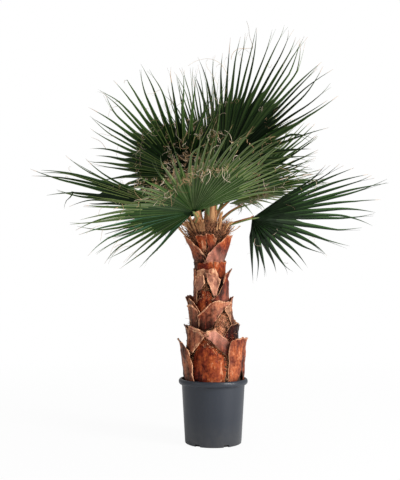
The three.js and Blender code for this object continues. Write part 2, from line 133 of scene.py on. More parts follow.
# the bases and husks in front; those with no node go with one that has. flare
# and bulge = how far its top and its middle stand out; warm, dry, worn = one
# value, or one each for foot left, foot right, top left and top right, where
# worn is a painted highlight; then (x, z) as seen from the front, along the
# foot, between the corners up the left and the right side, and along the top
SHEET_FIELDS = (
    "node", "rim", "roll", "seat", "flare", "bulge", "warm", "dry", "worn", "foot", "left", "right", "top",
)
SHEETS = tuple(dict(zip(SHEET_FIELDS, row)) for row in (
    ("leaf_base_1a", 0.8, 1, 2, 0, 6, (0.3, 0.7, 0.45, 0.75), 0, 0, ((-70, 204), (-18, 200), (33, 204)),
     ((-69, 260),), ((41, 262),), ((-66, 312), (-55, 352), (-33, 384), (0, 364), (28, 338), (48, 312))),
    ("", 0.7, 1, 6, -3, 6, (0.6, 0.8, 0.8, 0.9), 0, (0, 0.3, 0, 0), ((-40, 203), (-12, 200), (20, 204)),
     ((-36, 268),), ((31, 248), (24, 292)), ((-24, 328), (-14, 336), (-4, 338))),
    ("leaf_base_2a", 8, 6, 13, 6, 2, (0.5, 0.6, 0.45, 0.6), (0.15, 0.25, 0.15, 0.25), (0.2, 0.4, 0.2, 0.4),
     ((-89, 338), (-83, 322), (-74, 320)), ((-88, 370),), ((-50, 352),),
     ((-82, 403), (-50, 394), (-29, 382))),
    ("", 3, 4, 12, 9, 5, (0.5, 0.0, 0.5, 0.1), (0.1, 0, 0.1, 0), (1.3, -0.3, 1.8, 0.3),
     ((-32, 377), (-8, 359), (9, 342), (37, 316), (58, 302)), (), ((62, 322),),
     ((-33, 384), (-12, 393), (6, 397), (37, 373), (66, 343))),
    ("", 12, 5, 18, 5, 0, 0.9, 1, 0.9, ((-82, 396), (-50, 385), (-30, 374), (2, 388)), (), (),
     ((-84, 411), (-50, 401), (-30, 391), (7, 405))),
    ("leaf_base_3a", 6, 5, 10, 13, 6, (0.1, 0.3, 0.3, 0.75), (0, 0, 0.05, 0.45), (-1, 0.5, -0.8, 0.6),
     ((-71, 400), (-36, 393), (-5, 404), (2, 428)), ((-60, 426),), ((20, 451), (37, 472)),
     ((-52, 450), (-29, 469), (-12, 487), (16, 501), (37, 497), (60, 494))),
    ("", 5, 6, 14, 12, 2, (0.1, 0.1, 0.3, 0.4), (0, 0, 0.3, 0.3), (0.1, 0, 0.4, 0.3),
     ((-76, 402), (-62, 400), (-50, 405)), ((-83, 444),), ((-49, 440), (-56, 464)),
     ((-89, 483), (-80, 486), (-71, 483))),
    ("", 5, 5, 11, 9, 1, 0.35, (0.3, 0, 0.7, 0.4), 0, ((73, 377), (79, 377)), ((64, 416), (51, 451)),
     ((76, 426), (66, 465)), ((37, 472), (48, 484), (60, 494))),
    ("", 0.5, 0, 3, 0, 5, (0.3, 0.5, 0.6, 0.7), 0.45, 0, ((6, 340), (32, 318), (60, 312)), ((0, 380),),
     ((74, 363),), ((6, 418), (36, 464), (66, 433))),
    ("leaf_base_4a", 0.8, 0.5, 4, 2, 3, (0.4, 0.6, 0.35, 0.5), 0, 0, ((-66, 446), (-35, 440), (0, 448)),
     ((-65, 490),), ((-2, 490),), ((-62, 530), (-36, 540), (-8, 528))),
    ("", 0.8, 1, 4, 4, 0, 0.3, 0.1, 0.2, ((-70, 590), (-62, 590), (-55, 590)), ((-71, 616),), ((-54, 616),),
     ((-72, 641), (-62, 640), (-54, 640))),
    ("", 0.8, 1, 6, 5, 0, (0.5, 0.6, 0.7, 0.8), 0, 0, ((-56, 602), (-26, 602), (0, 604)), ((-56, 618),),
     ((0, 620),), ((-55, 633), (-26, 633), (-1, 637))),
    ("", 0.8, 1, 7, 8, 0, (0.55, 0.5, 0.75, 0.7), 0, 0, ((6, 590), (24, 572), (44, 548)), ((3, 612),),
     ((41, 600),), ((2, 637), (22, 635), (45, 637))),
    ("leaf_base_4b", 2.5, 2, 9, 26, 4, (0.4, 0.6, 0.2, 0.3), 0, (0.3, 0.6, 0, 0),
     ((-8, 500), (22, 490), (58, 498)), ((20, 526), (34, 556)), ((56, 540), (50, 578)),
     ((42, 590), (52, 604), (64, 613))),
    ("", 2, 2, 10, 3, 3, (0.5, 0.7, 0.5, 0.7), (0.6, 1.2, 0.9, 1.2), (0.2, 0.6, 0, 0.2),
     ((-58, 576), (-30, 582), (-5, 572), (19, 568)), ((-60, 590),), ((17, 590),),
     ((-57, 604), (-46, 612), (-26, 610), (5, 612))),
    ("leaf_base_husk", 3, 4, 15, 2, 2, (0.4, 0.4, 0.6, 0.7), (0.3, 0.4, 1.1, 1.2), (1, 1, 0.3, 0.6),
     ((2, 515), (9, 515)), ((-8, 541), (-19, 569)), ((16, 545),), ((-27, 598), (-6, 592), (23, 577))),
    ("", 4, 5, 14, 0, -5, (0.3, 0.3, 0.35, 0.4), 0.4, (0.8, 0.8, 0.4, 0.4), ((-54, 533), (-43, 540)),
     ((-66, 558),), ((-32, 562),), ((-59, 583), (-48, 588), (-35, 588))),
    ("leaf_base_5a", 2, 2, 5, 16, 2, (0.35, 0.4, 0.8, 0.9), (0, 0.2, 0, 0.1), 0,
     ((-42, 630), (-34, 630), (-27, 630)), ((-50, 690),), ((-26, 690),),
     ((-61, 724), (-54, 731), (-34, 727), (-24, 735))),
    ("", 1, 2, 2, 16, 2, (0.1, 0.1, 0.85, 0.85), 0, (0.7, 0.7, 0, 0.2), ((-30, 630), (-20, 630), (-10, 630)),
     ((-24, 668), (-17, 690)), ((-2, 680),), ((-28, 734), (-4, 732), (10, 716))),
    ("leaf_base_5e", 2.5, 3, 7, 26, 3, (0.15, 0, 0.75, 0.1), (0.1, 0, 0.3, 0), (0, 0, 0.2, 0),
     ((-66, 628), (-45, 626), (-22, 630)), ((-78, 680),), ((-24, 642),),
     ((-101, 728), (-84, 716), (-70, 697), (-47, 676), (-28, 654))),
    ("leaf_base_5b", 1.5, 3, 8, 21, 4, (0.1, 0.1, 0.2, 0.95), 0, (0.9, 0.9, 1.2, -0.6),
     ((-32, 632), (8, 626), (46, 630)), ((-26, 645),), ((53, 680),),
     ((-18, 658), (5, 688), (33, 714), (50, 728), (64, 729))),
))

# hub = where stem and blade meet; az 0 faces the front, 90 the right; el above
# the level; roll turns the blade about its middle line; half is the fan's half
# angle; fold lifts its sides; short trims the outer leaflets; droop and bend
# curve them; root = azimuth, distance from the axis, height and slope
FROND_FIELDS = (
    "name", "hub", "az", "el", "roll", "half", "reach", "count", "fold", "short", "droop", "bend",
    "seed", "root",
)
FRONDS = tuple(dict(zip(FROND_FIELDS, row)) for row in (
    ("front", (-68, -200, 799), -28, 23, 27, 112, 420, 28, 16, 0.2, 0.02, 0.42, 3, (-40, 36, 772, 15)),
    ("right_low", (137, -60, 792), 108, 13, -29, 77, 500, 24, 0, 0.25, 0.29, 0.08, 4, (88, 38, 766, 12)),
    ("back_right", (36, 90, 999), 68, 54, 57, 76, 551, 26, 5, 0.12, 0.02, -0.08, 5, (80, 22, 782, 80)),
    ("back_left", (-103, 60, 964), -80, 41, 31, 92, 445, 26, 0, 0.1, 0.02, -0.19, 6, (-110, 24, 782, 78)),
    ("left", (-161, 30, 852), -88, 18, 8, 50, 500, 20, 4, 0.25, 0.18, 0, 7, (-85, 38, 770, 32)),
    ("right", (105, 60, 848), 112, 18, -10, 56, 389, 20, 8, 0.15, 0.22, 0.1, 8, (128, 36, 774, 40)),
    ("right_rear", (73, 80, 884), 104, 50, 18, 84, 401, 24, 6, 0.15, 0.01, 0.05, 12, (140, 21, 782, 66)),
    ("spear", (-22, 0, 910), -40, 80, 0, 34, 430, 14, 14, 0.15, 0, 0.12, 9, (0, 0, 785, 90)),
    ("rear_left", (-59, 200, 828), -162, 11, -22, 80, 439, 22, 8, 0.25, 0.12, 0.05, 13, (-160, 38, 768, 20)),
    ("rear_right", (46, 145, 884), 166, 27, -11, 82, 437, 22, 8, 0.25, 0.29, 0.05, 14, (158, 38, 772, 38)),
    ("rear", (-4, 131, 969), 174, 42, -24, 80, 459, 24, 6, 0.2, 0.05, 0.05, 15, (-168, 23, 782, 72)),
))
# how a leaflet is made: finer = how many times more of them a blade has than in
# the frame; hub_shift = how far the blade starts from its stem's end, where it
# folds back over the stem; stray, uneven, trim, sag, late = the frame's own rule
# for a leaflet's turn, length and droop; skew, ends, gap = how they bunch to one
# side, are spread at the first and last one (degrees), and part at one place
# (where, how wide); slant, dip = lengths that grow to one side, and that are
# less round one place (share, where, how wide); straight = share of the bend
# taken out. A leaflet has this many steps, and is free from the step web on;
# web_arch slants and arches that line, uneven_web roughens it; edge_spread =
# how far the outmost margins stand off. pleat = depth of the web's folds,
# crease = slope of a free leaflet's halves at its start and end (degrees), slim
# and belly = its width at its start and middle, taper = how it runs out, widest
# = limit over the usual width; rib, rib_width, thickness = its section; broken =
# share of tips that hang; threads, threads_at = how many hang at the partings,
# and where round the fan (middle, spread, from 0 to 1)
LEAFLET = {
    "finer": 1.0, "hub_shift": (0, 0, 0), "stray": 0.35, "uneven": 0.08, "trim": 2.2, "sag": 0.5,
    "late": 1.5, "skew": 0, "ends": (0, 0), "gap": (0, 0), "slant": 0, "dip": (0, 0, 1),
    "straight": 0, "steps": 24, "web": 11, "web_arch": (0, 0), "uneven_web": 2.2,
    "edge_spread": 0.45, "pleat": 0.55, "crease": (32, 50), "slim": 0.66, "belly": 0, "taper": 1.1,
    "widest": 1.15, "rib": 1.5, "rib_width": 0.14, "thickness": 0.9, "broken": 0.02,
    "threads": 0.5, "threads_at": (0.5, 9),
}
OWN_LEAFLETS = {
    "front": {
        "finer": 1.6, "web": 12, "web_arch": (-1.5, 3), "crease": (50, 70), "slim": 0.7,
        "straight": 0.7, "skew": -0.12, "ends": (0, 8), "dip": (0.35, 0.3, 0.13), "broken": 0.08,
        "threads": 1.5, "threads_at": (0.45, 0.13),
    },
    "right_low": {
        "finer": 0.92, "web": 7, "web_arch": (2, 0), "crease": (26, 36), "slim": 1.0, "belly": 0.2,
        "straight": 0.95, "skew": -0.16, "ends": (0, -12), "gap": (-0.02, 0.03), "broken": 0.04,
        "threads": 0.1,
    },
    "back_right": {
        "finer": 1.15, "web_arch": (2, 0.5), "slim": 0.62, "skew": 0.12, "ends": (-12, 0),
        "slant": -0.16, "threads": 0.25,
    },
    "back_left": {
        "finer": 1.25, "web_arch": (3, 0), "skew": 0.28, "ends": (-10, 15), "slant": 0.16,
        "threads": 1.4,
    },
    "left": {
        "finer": 0.7, "hub_shift": (0, 0, -16), "straight": 1.0, "ends": (-15, 0),
        "gap": (0.05, 0.1), "broken": 0.1, "threads": 1.0,
    },
    "right": {
        "finer": 1.4, "hub_shift": (-43, -20, 6), "web": 9, "slim": 1.1, "ends": (0, -16),
        "threads": 1.4,
    },
    "right_rear": {"finer": 1.1, "web": 8, "slim": 1.1, "threads": 0.7},
    "spear": {"finer": 1.7, "slim": 0.8, "ends": (-14, 0), "threads": 1.4},
    "rear_left": {"threads": 0.7},
    "rear": {"slim": 0.45},
}
# how free ends sway across and through their blade from their start, whip near
# their tip and sink, as shares of the frond's reach
SWAY = {"across": 0.022, "through": 0.02, "whip_across": 0.034, "whip_through": 0.03, "sink": 0.045}
WHIP_FROM = 0.55
# bends: share of leaflets that have one, the steps it may start at, and how sharp
KINKED = {"share": 0.22, "from": 16, "to": 21, "turn": 0.12}
# tips that hang: the steps they may start at, how much they keep of their own way,
# how unevenly and how fast they turn down, and how much shorter their steps get
BROKEN = {"from": 19, "to": 23, "keep": 0.3, "stray": 0.12, "drop": 0.35, "step": 0.8}
SPLIT_TIPS = {"share": 0.35, "from": 20, "spread": 0.018, "wider": (0.4, 1.5)}
GREENS = 5
RIB, DARK_RIB, SHADE, DUSK = 5, 6, 8, 9
# how a frond's leaflets share out among the greens (deep, mid, bright, pale,
# blue), one row for its first leaflets, those in the middle and its last; the
# pale and blue greens also paint the sheen where leaflets catch the light; the
# finish of its ribs in the web and beyond; up to which step each of the three
# lies in painted deep shade; and whether one half of each leaflet is painted
# darker, as the shade on the half turned from the light
LOOKS_FIELDS = ("shares", "web_rib", "free_rib", "shade_to", "painted_half_shade")
FRESH, DULL, PALE = (0.1, 0.5, 0.4, 0, 0), (0.4, 0.6, 0, 0, 0), (0, 0.1, 0.5, 0.4, 0)
LEAF_LOOKS = {name: dict(zip(LOOKS_FIELDS, row)) for name, row in {
    "front": (((0, 0, 0, 1, 0), (0, 0, 0.7, 0.3, 0), (0, 0, 0.4, 0.3, 0.3)), 0, RIB, (0, 0.5, 1), False),
    "right_low": (((0, 1, 0, 0, 0),) * 3, DUSK, DUSK, (4, 4, 4), True),
    "right": (((0, 0.3, 0.3, 0.3, 0.1),) * 3, DARK_RIB, DARK_RIB, (0, 0, 0), True),
    "right_rear": ((PALE,) * 3, DARK_RIB, RIB, (2, 2, 0), True),
    "left": ((DULL,) * 3, DARK_RIB, DARK_RIB, (4, 4, 4), True),
    "back_left": ((FRESH,) * 3, DARK_RIB, DARK_RIB, (6, 3, 2), True),
    "back_right": ((FRESH, (0.1, 0.4, 0.5, 0, 0), (0, 0, 0.4, 0.6, 0)), DARK_RIB, DARK_RIB, (2, 2, 0), True),
    "spear": ((FRESH,) * 3, RIB, RIB, (0, 0, 0), True),
    "otherwise": (((0.2, 0.5, 0.3, 0, 0),) * 3, DARK_RIB, DARK_RIB, (4, 4, 4), True),
}.items()}
# where round the fan the middle leaflets start and end, from -1 to 1
LEAF_ZONES = (-0.1, 0.45)
# what each finish turns to where shade is painted on it, by number
SHADED_GREEN = np.array((DUSK, 0, 1, 2, 1, DUSK, DUSK, 7, SHADE, SHADE))
# the side that lights each leaflet's brighter half; the share of leaflets with a
# dry end, and the steps at which dry ends start
SUN_SIDE = (0.63, -0.48, 0.61)
DRY = {"slot": 7, "share": 0.07, "from": 21, "usual": 23}
# corners of a half leaflet's section: on top, of the rib, and beside the rib
ON_TOP, RIB_CORNERS, BY_THE_RIB = (0, 1, 2, 7), (0, 6, 7), (1, 5)
# old threads that hang in a tangle: x, y and z ranges, and how many
TANGLES = (
    ((-175, -95), (-40, 40), (940, 1150), 170), ((-120, -20), (-60, 0), (1010, 1120), 70),
    ((50, 175), (-40, 60), (885, 950), 70), ((-270, -150), (-80, 0), (860, 940), 60),
)
# long thin threads that arch over the crown: start, heading, length, curl
ARCS = (
    ((55, 60, 1340), (-0.2, 0, 1), 190, 0.13), ((70, 60, 1400), (0.1, 0, 1), 150, 0.2),
    ((20, 50, 1300), (-0.3, 0, 1), 140, 0.16), ((150, 60, 1440), (0.3, 0, 1), 110, 0.22),
    ((95, 60, 1420), (0.4, 0, 1), 120, -0.18),
)
THREAD = {"stations": 16, "length": (20, 80), "tangled": (20, 60), "sink": 0.05, "radius": (0.45, 1.0)}

# gaps between the bases in front that fibre and crumbs fill: x and z ranges as
# seen from there, how many strands, and how far they stand off the stem
GAPS = (
    (6, 70, 322, 460, 420, 7), (-50, 0, 505, 562, 200, 5), (30, 60, 205, 335, 240, 2),
    (-80, -68, 230, 330, 60, 2), (-40, -20, 650, 684, 40, 14), (-92, -80, 395, 440, 50, 8),
    (-36, 0, 340, 380, 60, 8),
)

# loose fibre: between which heights it stands up round the crown and nets the
# trunk, how many strands of the net there are to one of the crown's, and how thick
FIBRE = {
    "stations": 6, "crown": (690, 772), "net": (225, 700), "net_share": 0.55, "radius": (0.28, 0.75),
    "crown_length": (14, 40), "net_length": (18, 44), "gap_length": (8, 26),
}

# a stem: pull and clear = how its curve leaves both ends, and how far it stops
# short of the hub; sheath = how much it widens at its foot; dry_part = share of its length
# that is dry; rib_into_blade = how far it runs on under the blade
STEM = {
    "foot_width": 21, "hub_width": 9, "foot_depth": 11, "hub_depth": 8, "stations": 40, "pull": 0.38,
    "clear": 0.35, "sheath": 0.9, "broad": 1, "dry_part": 0.16, "rib_into_blade": 75,
}
OWN_STEMS = {
    "front": {"broad": 1.5, "dry_part": 1.0, "rib_into_blade": 12},
    "left": {"broad": 1.2},
    "spear": {"sheath": 0},
}
# across and through, in half widths and depths: channelled above, with a ridge
# along each margin, and round below
STEM_SECTION = (
    (-1, 0.2), (-0.84, 0.34), (-0.5, 0.2), (0, 0.1), (0.5, 0.2), (0.84, 0.34),
    (1, 0.2), (0.88, -0.2), (0.52, -0.55), (0, -0.7), (-0.52, -0.55), (-0.88, -0.2),
)
STEM_MARGINS, STEM_UNDERSIDE = (0, 5, 6, 11), 8
TEETH = {"spacing": 8.5, "length": 4.6, "width": 2.4, "from": 0.1, "to": 0.9}
# azimuth, distance from the axis, foot height, length, lean, width, depth
STUMPS = (
    (15, 50, 768, 74, 4, 25, 9), (-38, 50, 764, 58, 18, 27, 9), (-72, 52, 754, 58, 66, 22, 8),
    (58, 52, 754, 50, 62, 22, 8), (43, 48, 766, 50, 24, 18, 8), (-105, 52, 756, 52, 50, 22, 8),
    (148, 52, 756, 50, 52, 22, 8), (-134, 52, 756, 56, 54, 24, 9),
)
STUMP_TAPER = 0.35
# torn strips of leaf base round the crown: azimuth, foot height, length, lean
SHARDS = (
    (-78, 742, 50, 60), (-58, 738, 40, 46), (-40, 742, 34, 30), (24, 744, 30, 22), (52, 742, 38, 42),
    (80, 742, 52, 64), (104, 742, 40, 50), (130, 742, 44, 56), (168, 742, 46, 54), (-160, 740, 48, 60),
    (-124, 742, 42, 56),
)
# the torn foot of the front frond's stem and strips beside it: azimuth, foot
# height, length, lean, width, depth
TORN = (
    (-20, 744, 42, 6, 28, 5), (-34, 752, 64, 18, 10, 3), (-44, 750, 70, 26, 9, 3), (-54, 748, 66, 34, 9, 3),
    (34, 750, 40, 14, 12, 3), (-78, 716, 74, 40, 10, 3), (-70, 712, 62, 46, 9, 3), (-84, 722, 70, 32, 9, 3),
)
SHARD = {"width": 9, "depth": 2.4, "taper": 0.8, "stand_off": 7, "bow": 0.9}
# strands at a frayed end of a cut stem and of a torn strip, and their thickness
FRAY = {"stump": 46, "strip": 14, "radius": (0.5, 0.45, 0.35, 0.2)}

# --------------------------------------------------------------- stage, camera
CAMERA = {"place": (-0.047, -2.6, 0.552), "pitch": 3.65, "lens": 54.14, "sensor": 36}
# name, setting of its power, place, what it aims at, size
LIGHTS = (
    ("key", "key", (2.4, -1.8, 2.3), (0, 0, 0.75), 1.2),
    ("side", "side", (2.3, -1.3, 0.7), (0, 0, 0.5), 0.9),
    ("fill", "fill", (-2.4, -1.8, 1.5), (0, 0, 0.7), 1.8),
    ("back", "fill", (-0.6, 2.4, 2.4), (0, 0, 0.9), 1.6),
)
# how wide the floor is, how far out it starts to show white, and where it is all white
FLOOR = {"size": 24, "glow_from": 0.5, "glow_to": 3.0}


def tint(red, green, blue):
    """A display colour, 0 to 255, as the linear colour that shaders use."""
    channel = [v / 255 for v in (red, green, blue)]
    return tuple(v / 12.92 if v <= 0.04045 else ((v + 0.055) / 1.055) ** 2.4 for v in channel)


def shade(colour):
    return (*colour, 1.0)


# ------------------------------------------------------------------- settings
def colour_setting(name, description, default):
    return bpy.props.FloatVectorProperty(
        name=name, description=description, default=default, subtype="COLOR", size=3, min=0, max=1)


class PalmPotSettings(bpy.types.PropertyGroup):
    plastic: colour_setting("Plastic", "Colour of the pot", tint(45, 50, 59))
    soil: colour_setting("Soil", "Colour of the potting soil", tint(52, 38, 28))
    roughness: bpy.props.FloatProperty(
        name="Roughness", description="How matt the pot is", default=0.33, min=0, max=1, subtype="FACTOR")
    lip_bevel: bpy.props.FloatProperty(
        name="Edge rounding", description="Radius on the pot's sharp edges", default=0.0008, min=0,
        unit="LENGTH")


class PalmTrunkSettings(bpy.types.PropertyGroup):
    maroon: colour_setting("Maroon", "Darkest tone of the leaf bases", tint(64, 20, 12))
    mauve: colour_setting("Mauve", "Smooth worn tone of the leaf bases", tint(112, 40, 26))
    russet: colour_setting("Russet", "Main tone of the leaf bases", tint(138, 60, 34))
    orange: colour_setting("Orange", "Fresh tone of the leaf bases", tint(180, 86, 44))
    # a painted highlight: the pale pinkish sheen laid over the leaf bases
    worn: colour_setting("Worn", "Rubbed, shiny patches of the leaf bases", tint(222, 152, 130))
    papery: colour_setting("Papery", "Dry edges and husks", tint(238, 182, 142))
    fibre: colour_setting("Fibre", "Net of fibre round the crown", tint(156, 104, 72))
    fibres: bpy.props.IntProperty(
        name="Fibres", description="Loose fibres round the crown", default=2700, min=0)
    relief: bpy.props.FloatProperty(
        name="Relief", description="Depth of the bare stem's relief", default=0.003, min=0, unit="LENGTH")


class PalmLeafSettings(bpy.types.PropertyGroup):
    deep: colour_setting("Deep green", "Darkest leaflets", tint(19, 41, 12))
    mid: colour_setting("Mid green", "Usual leaflets", tint(42, 73, 25))
    bright: colour_setting("Bright green", "Lightest leaflets", tint(66, 94, 40))
    under: colour_setting("Pale green", "Greyish leaflets", tint(116, 130, 92))
    # a painted sheen: the cool gloss of leaflets that catch the light
    blue: colour_setting("Blue green", "Leaflets with a cool sheen", tint(78, 122, 90))
    shade: colour_setting("Shade", "Inmost parts of the fans at the back", tint(8, 20, 6))
    rib: colour_setting("Rib", "Pale midribs", tint(136, 150, 92))
    dark_rib: colour_setting("Dark rib", "Midribs of the darker fronds", tint(118, 138, 74))
    dry: colour_setting("Dry", "Dry tips and threads", tint(196, 160, 120))
    stem: colour_setting("Stem", "Green of the stems", tint(104, 122, 60))
    margin: colour_setting("Margin", "Toothed margins of the stems", tint(160, 92, 44))
    threads: bpy.props.IntProperty(
        name="Threads", description="Curled threads at each parting between two leaflets", default=3, min=0)


class PalmStageSettings(bpy.types.PropertyGroup):
    floor: colour_setting("Floor", "Colour of the floor", tint(250, 250, 250))
    key: bpy.props.FloatProperty(
        name="Key light", description="Power of the large soft light", default=80, min=0, subtype="POWER")
    side: bpy.props.FloatProperty(
        name="Side light", description="Power of the low light at the side", default=26, min=0,
        subtype="POWER")
    fill: bpy.props.FloatProperty(
        name="Fill light", description="Power of the fill light", default=7, min=0, subtype="POWER")
    glow: bpy.props.FloatProperty(
        name="Floor glow", description="How far the floor washes out to white", default=0.94, min=0, max=1,
        subtype="FACTOR")
    sky: bpy.props.FloatProperty(
        name="Surroundings", description="Strength of the light from all round", default=0.42, min=0)


# ------------------------------------------------------------- shapes in code
def unit(v):
    return v / np.maximum(np.linalg.norm(v, axis=-1, keepdims=True), 1e-9)


def mix(a, b, t):
    return a + (b - a) * t


def smooth(t):
    c = np.clip(t, 0, 1)
    return c * c * (3 - 2 * c)


def dot(a, b):
    return np.sum(a * b, axis=-1, keepdims=True)


def toward(azimuth, r, z, cx=0.0):
    """The point at this azimuth and distance from the axis."""
    azimuth, r, z, cx = np.broadcast_arrays(np.radians(azimuth), r, z, cx)
    return np.stack([cx + r * np.sin(azimuth), -r * np.cos(azimuth), z], axis=-1)


def core_radius(z):
    return np.interp(z, TRUNK_HEIGHT, TRUNK_RADIUS)


def lean(z):
    return LEAN["x"] * smooth((np.asarray(z) - LEAN["from"]) / (LEAN["to"] - LEAN["from"]))


def dice(seed):
    """The frame's own small generator: the same leaflets get the same draws."""
    state = seed
    while True:
        state = (state * 1664525 + 1013904223) & 0xFFFFFFFF
        yield state / 4294967296 - 0.5


def wobble(points, size, seed):
    """Smooth noise, mostly from -1 to 1, with a bump to each size of millimetres."""
    waves = 9
    rng = np.random.default_rng(seed)
    turns = unit(rng.normal(size=(waves, 3))) * rng.uniform(0.5, 1.5, (waves, 1)) * 2 * np.pi
    phase = rng.uniform(0, 2 * np.pi, waves)
    return np.sin((points / size) @ turns.T + phase).sum(axis=-1) / math.sqrt(waves)


def layered(layers, seed):
    """Several wobbles on top of each other, as (depth, points, size)."""
    return sum(depth * wobble(points, size, seed + i) for i, (depth, points, size) in enumerate(layers))


def loft(rings):
    """Closed skins over rings of points, as (items, stations, corners, 3).

    Gives the points, the triangles, and for each triangle its item, its
    station (-1 on an end) and its corner."""
    items, stations, corners, _ = rings.shape
    index = np.arange(items * stations * corners).reshape(items, stations, corners)
    a, c = index[:, :-1], index[:, 1:]
    b, d = np.roll(a, -1, axis=2), np.roll(c, -1, axis=2)
    sides = np.stack([np.stack([a, b, d], -1), np.stack([a, d, c], -1)], axis=3)
    where = np.moveaxis(np.indices((items, stations - 1, corners)), 0, -1)
    where = np.broadcast_to(where[:, :, :, None], sides.shape)
    fan = np.arange(1, corners - 1)
    foot, tip = index[:, 0], index[:, -1]
    ends = np.concatenate([
        np.stack([np.repeat(foot[:, :1], len(fan), 1), foot[:, fan + 1], foot[:, fan]], -1),
        np.stack([np.repeat(tip[:, :1], len(fan), 1), tip[:, fan], tip[:, fan + 1]], -1)], axis=1)
    end_at = np.full(ends.shape, -1)
    end_at[..., 0] = np.arange(items)[:, None]
    faces = np.concatenate([sides.reshape(items, -1, 3), ends], axis=1)
    where = np.concatenate([where.reshape(items, -1, 3), end_at], axis=1)
    points = rings.reshape(-1, 3)
    p, q, r = (points[faces[..., k]] for k in range(3))
    volume = np.sum(p * np.cross(q, r), axis=(1, 2)) - np.sum(
        points[index[:, 0, 0]] * np.sum(np.cross(q - p, r - p), axis=1), axis=1)
    inside_out = volume < 0
    faces[inside_out] = faces[inside_out][..., ::-1]
    return points, faces.reshape(-1, 3), where.reshape(-1, 3)


def framed(paths):
    """Two directions square to each path at each of its points, without twist."""
    along = unit(np.gradient(paths, axis=1))
    side = np.empty_like(paths)
    start = np.where(np.abs(along[:, 0, 2:3]) < 0.9, [[0.0, 0.0, 1.0]], [[1.0, 0.0, 0.0]])
    side[:, 0] = unit(np.cross(along[:, 0], start))
    for k in range(1, paths.shape[1]):
        last = side[:, k - 1]
        side[:, k] = unit(last - along[:, k] * dot(last, along[:, k]))
    return side, np.cross(along, side)


def tubes(paths, radius, corners=3):
    """Rings round paths of points; radius is for each path and station."""
    side, up = framed(paths)
    turn = np.arange(corners) * 2 * np.pi / corners
    r = np.broadcast_to(radius, paths.shape[:2])[..., None, None]
    ring = side[:, :, None] * np.cos(turn)[:, None] + up[:, :, None] * np.sin(turn)[:, None]
    return paths[:, :, None] + ring * r


def run_along(points):
    """How long a path is up to each of its points."""
    return np.concatenate([[0], np.cumsum(np.linalg.norm(np.diff(points, axis=0), axis=1))])


def places_at(where, run, points):
    """The places on a path at these lengths along it."""
    return np.stack([np.interp(where, run, column) for column in points.T], axis=-1)


def bezier(p0, p1, p2, p3, stations):
    """Points at even distances along a cubic curve."""
    t = np.linspace(0, 1, 401)[:, None]
    fine = (1 - t) ** 3 * p0 + 3 * (1 - t) ** 2 * t * p1 + 3 * (1 - t) * t ** 2 * p2 + t ** 3 * p3
    run = run_along(fine)
    return places_at(np.linspace(0, run[-1], stations + 1), run, fine)


def joined(parts):
    """Several (points, triangles, slots) as one."""
    points, faces, slots, start = [], [], [], 0
    for p, f, s in parts:
        points.append(p)
        faces.append(f + start)
        slots.append(np.broadcast_to(s, len(f)))
        start += len(p)
    return np.concatenate(points), np.concatenate(faces), np.concatenate(slots)


def add_piece(name, points, faces, materials, slots=0, smooth_faces=True):
    """A mesh object at the origin from points in millimetres and triangles."""
    mesh = bpy.data.meshes.new(name)
    mesh.vertices.add(len(points))
    mesh.vertices.foreach_set("co", (np.asarray(points) * MM).ravel())
    mesh.loops.add(faces.size)
    mesh.loops.foreach_set("vertex_index", faces.ravel())
    mesh.polygons.add(len(faces))
    mesh.polygons.foreach_set("loop_start", np.arange(0, faces.size, 3))
    for material in materials:
        mesh.materials.append(material)
    dealt = np.ascontiguousarray(np.broadcast_to(slots, len(faces)), dtype=np.int32)
    mesh.polygons.foreach_set("material_index", dealt)
    mesh.polygons.foreach_set("use_smooth", np.full(len(faces), smooth_faces))
    mesh.update(calc_edges=True)
    mesh.validate()
    piece = bpy.data.objects.new(name, mesh)
    bpy.context.collection.objects.link(piece)
    return piece


def hand_over(piece, slot, *nodes):
    """The piece rides on the plant and stands for its nodes; slot is not used."""
    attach(piece, "root")
    if nodes:
        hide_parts(*nodes)


# ------------------------------------------------------------ shapes by hand
def select_only(*objects):
    bpy.ops.object.select_all(action="DESELECT")
    for each in objects:
        each.select_set(True)
    bpy.context.view_layer.objects.active = objects[0]


def added(primitive, **settings):
    """A primitive, with nothing else selected."""
    bpy.ops.object.select_all(action="DESELECT")
    primitive(**settings)
    return bpy.context.view_layer.objects.active


def finished(piece, material):
    piece.data.materials.clear()
    piece.data.materials.append(material)


def settle(piece):
    """Puts the object's own place into its mesh."""
    select_only(piece)
    bpy.ops.object.transform_apply(location=True, rotation=True, scale=True)


def apply_modifier(piece, kind, **settings):
    select_only(piece)
    modifier = piece.modifiers.new(kind.title(), kind)
    for key, value in settings.items():
        setattr(modifier, key, value)
    bpy.ops.object.modifier_apply(modifier=modifier.name)


def join(pieces):
    select_only(*pieces)
    bpy.ops.object.join()
    return bpy.context.view_layer.objects.active


def turned(name, profile, segments):
    """A disc drawn up, out and in again, ring by ring, along (radius, height)."""
    radius, height = profile[0]
    piece = added(bpy.ops.mesh.primitive_circle_add, vertices=segments, radius=radius * MM,
                  fill_type="NGON", location=(0, 0, height * MM))
    piece.name = piece.data.name = name
    settle(piece)
    bpy.ops.object.mode_set(mode="EDIT")
    bpy.ops.mesh.select_all(action="SELECT")
    for (r0, z0), (r1, z1) in zip(profile, profile[1:]):
        bpy.ops.mesh.extrude_region_move(TRANSFORM_OT_translate={"value": (0, 0, (z1 - z0) * MM)})
        bpy.ops.transform.resize(value=(r1 / r0, r1 / r0, 1), center_override=(0, 0, z1 * MM))
    bpy.ops.mesh.select_all(action="SELECT")
    bpy.ops.mesh.normals_make_consistent(inside=False)
    bpy.ops.object.mode_set(mode="OBJECT")
    return piece


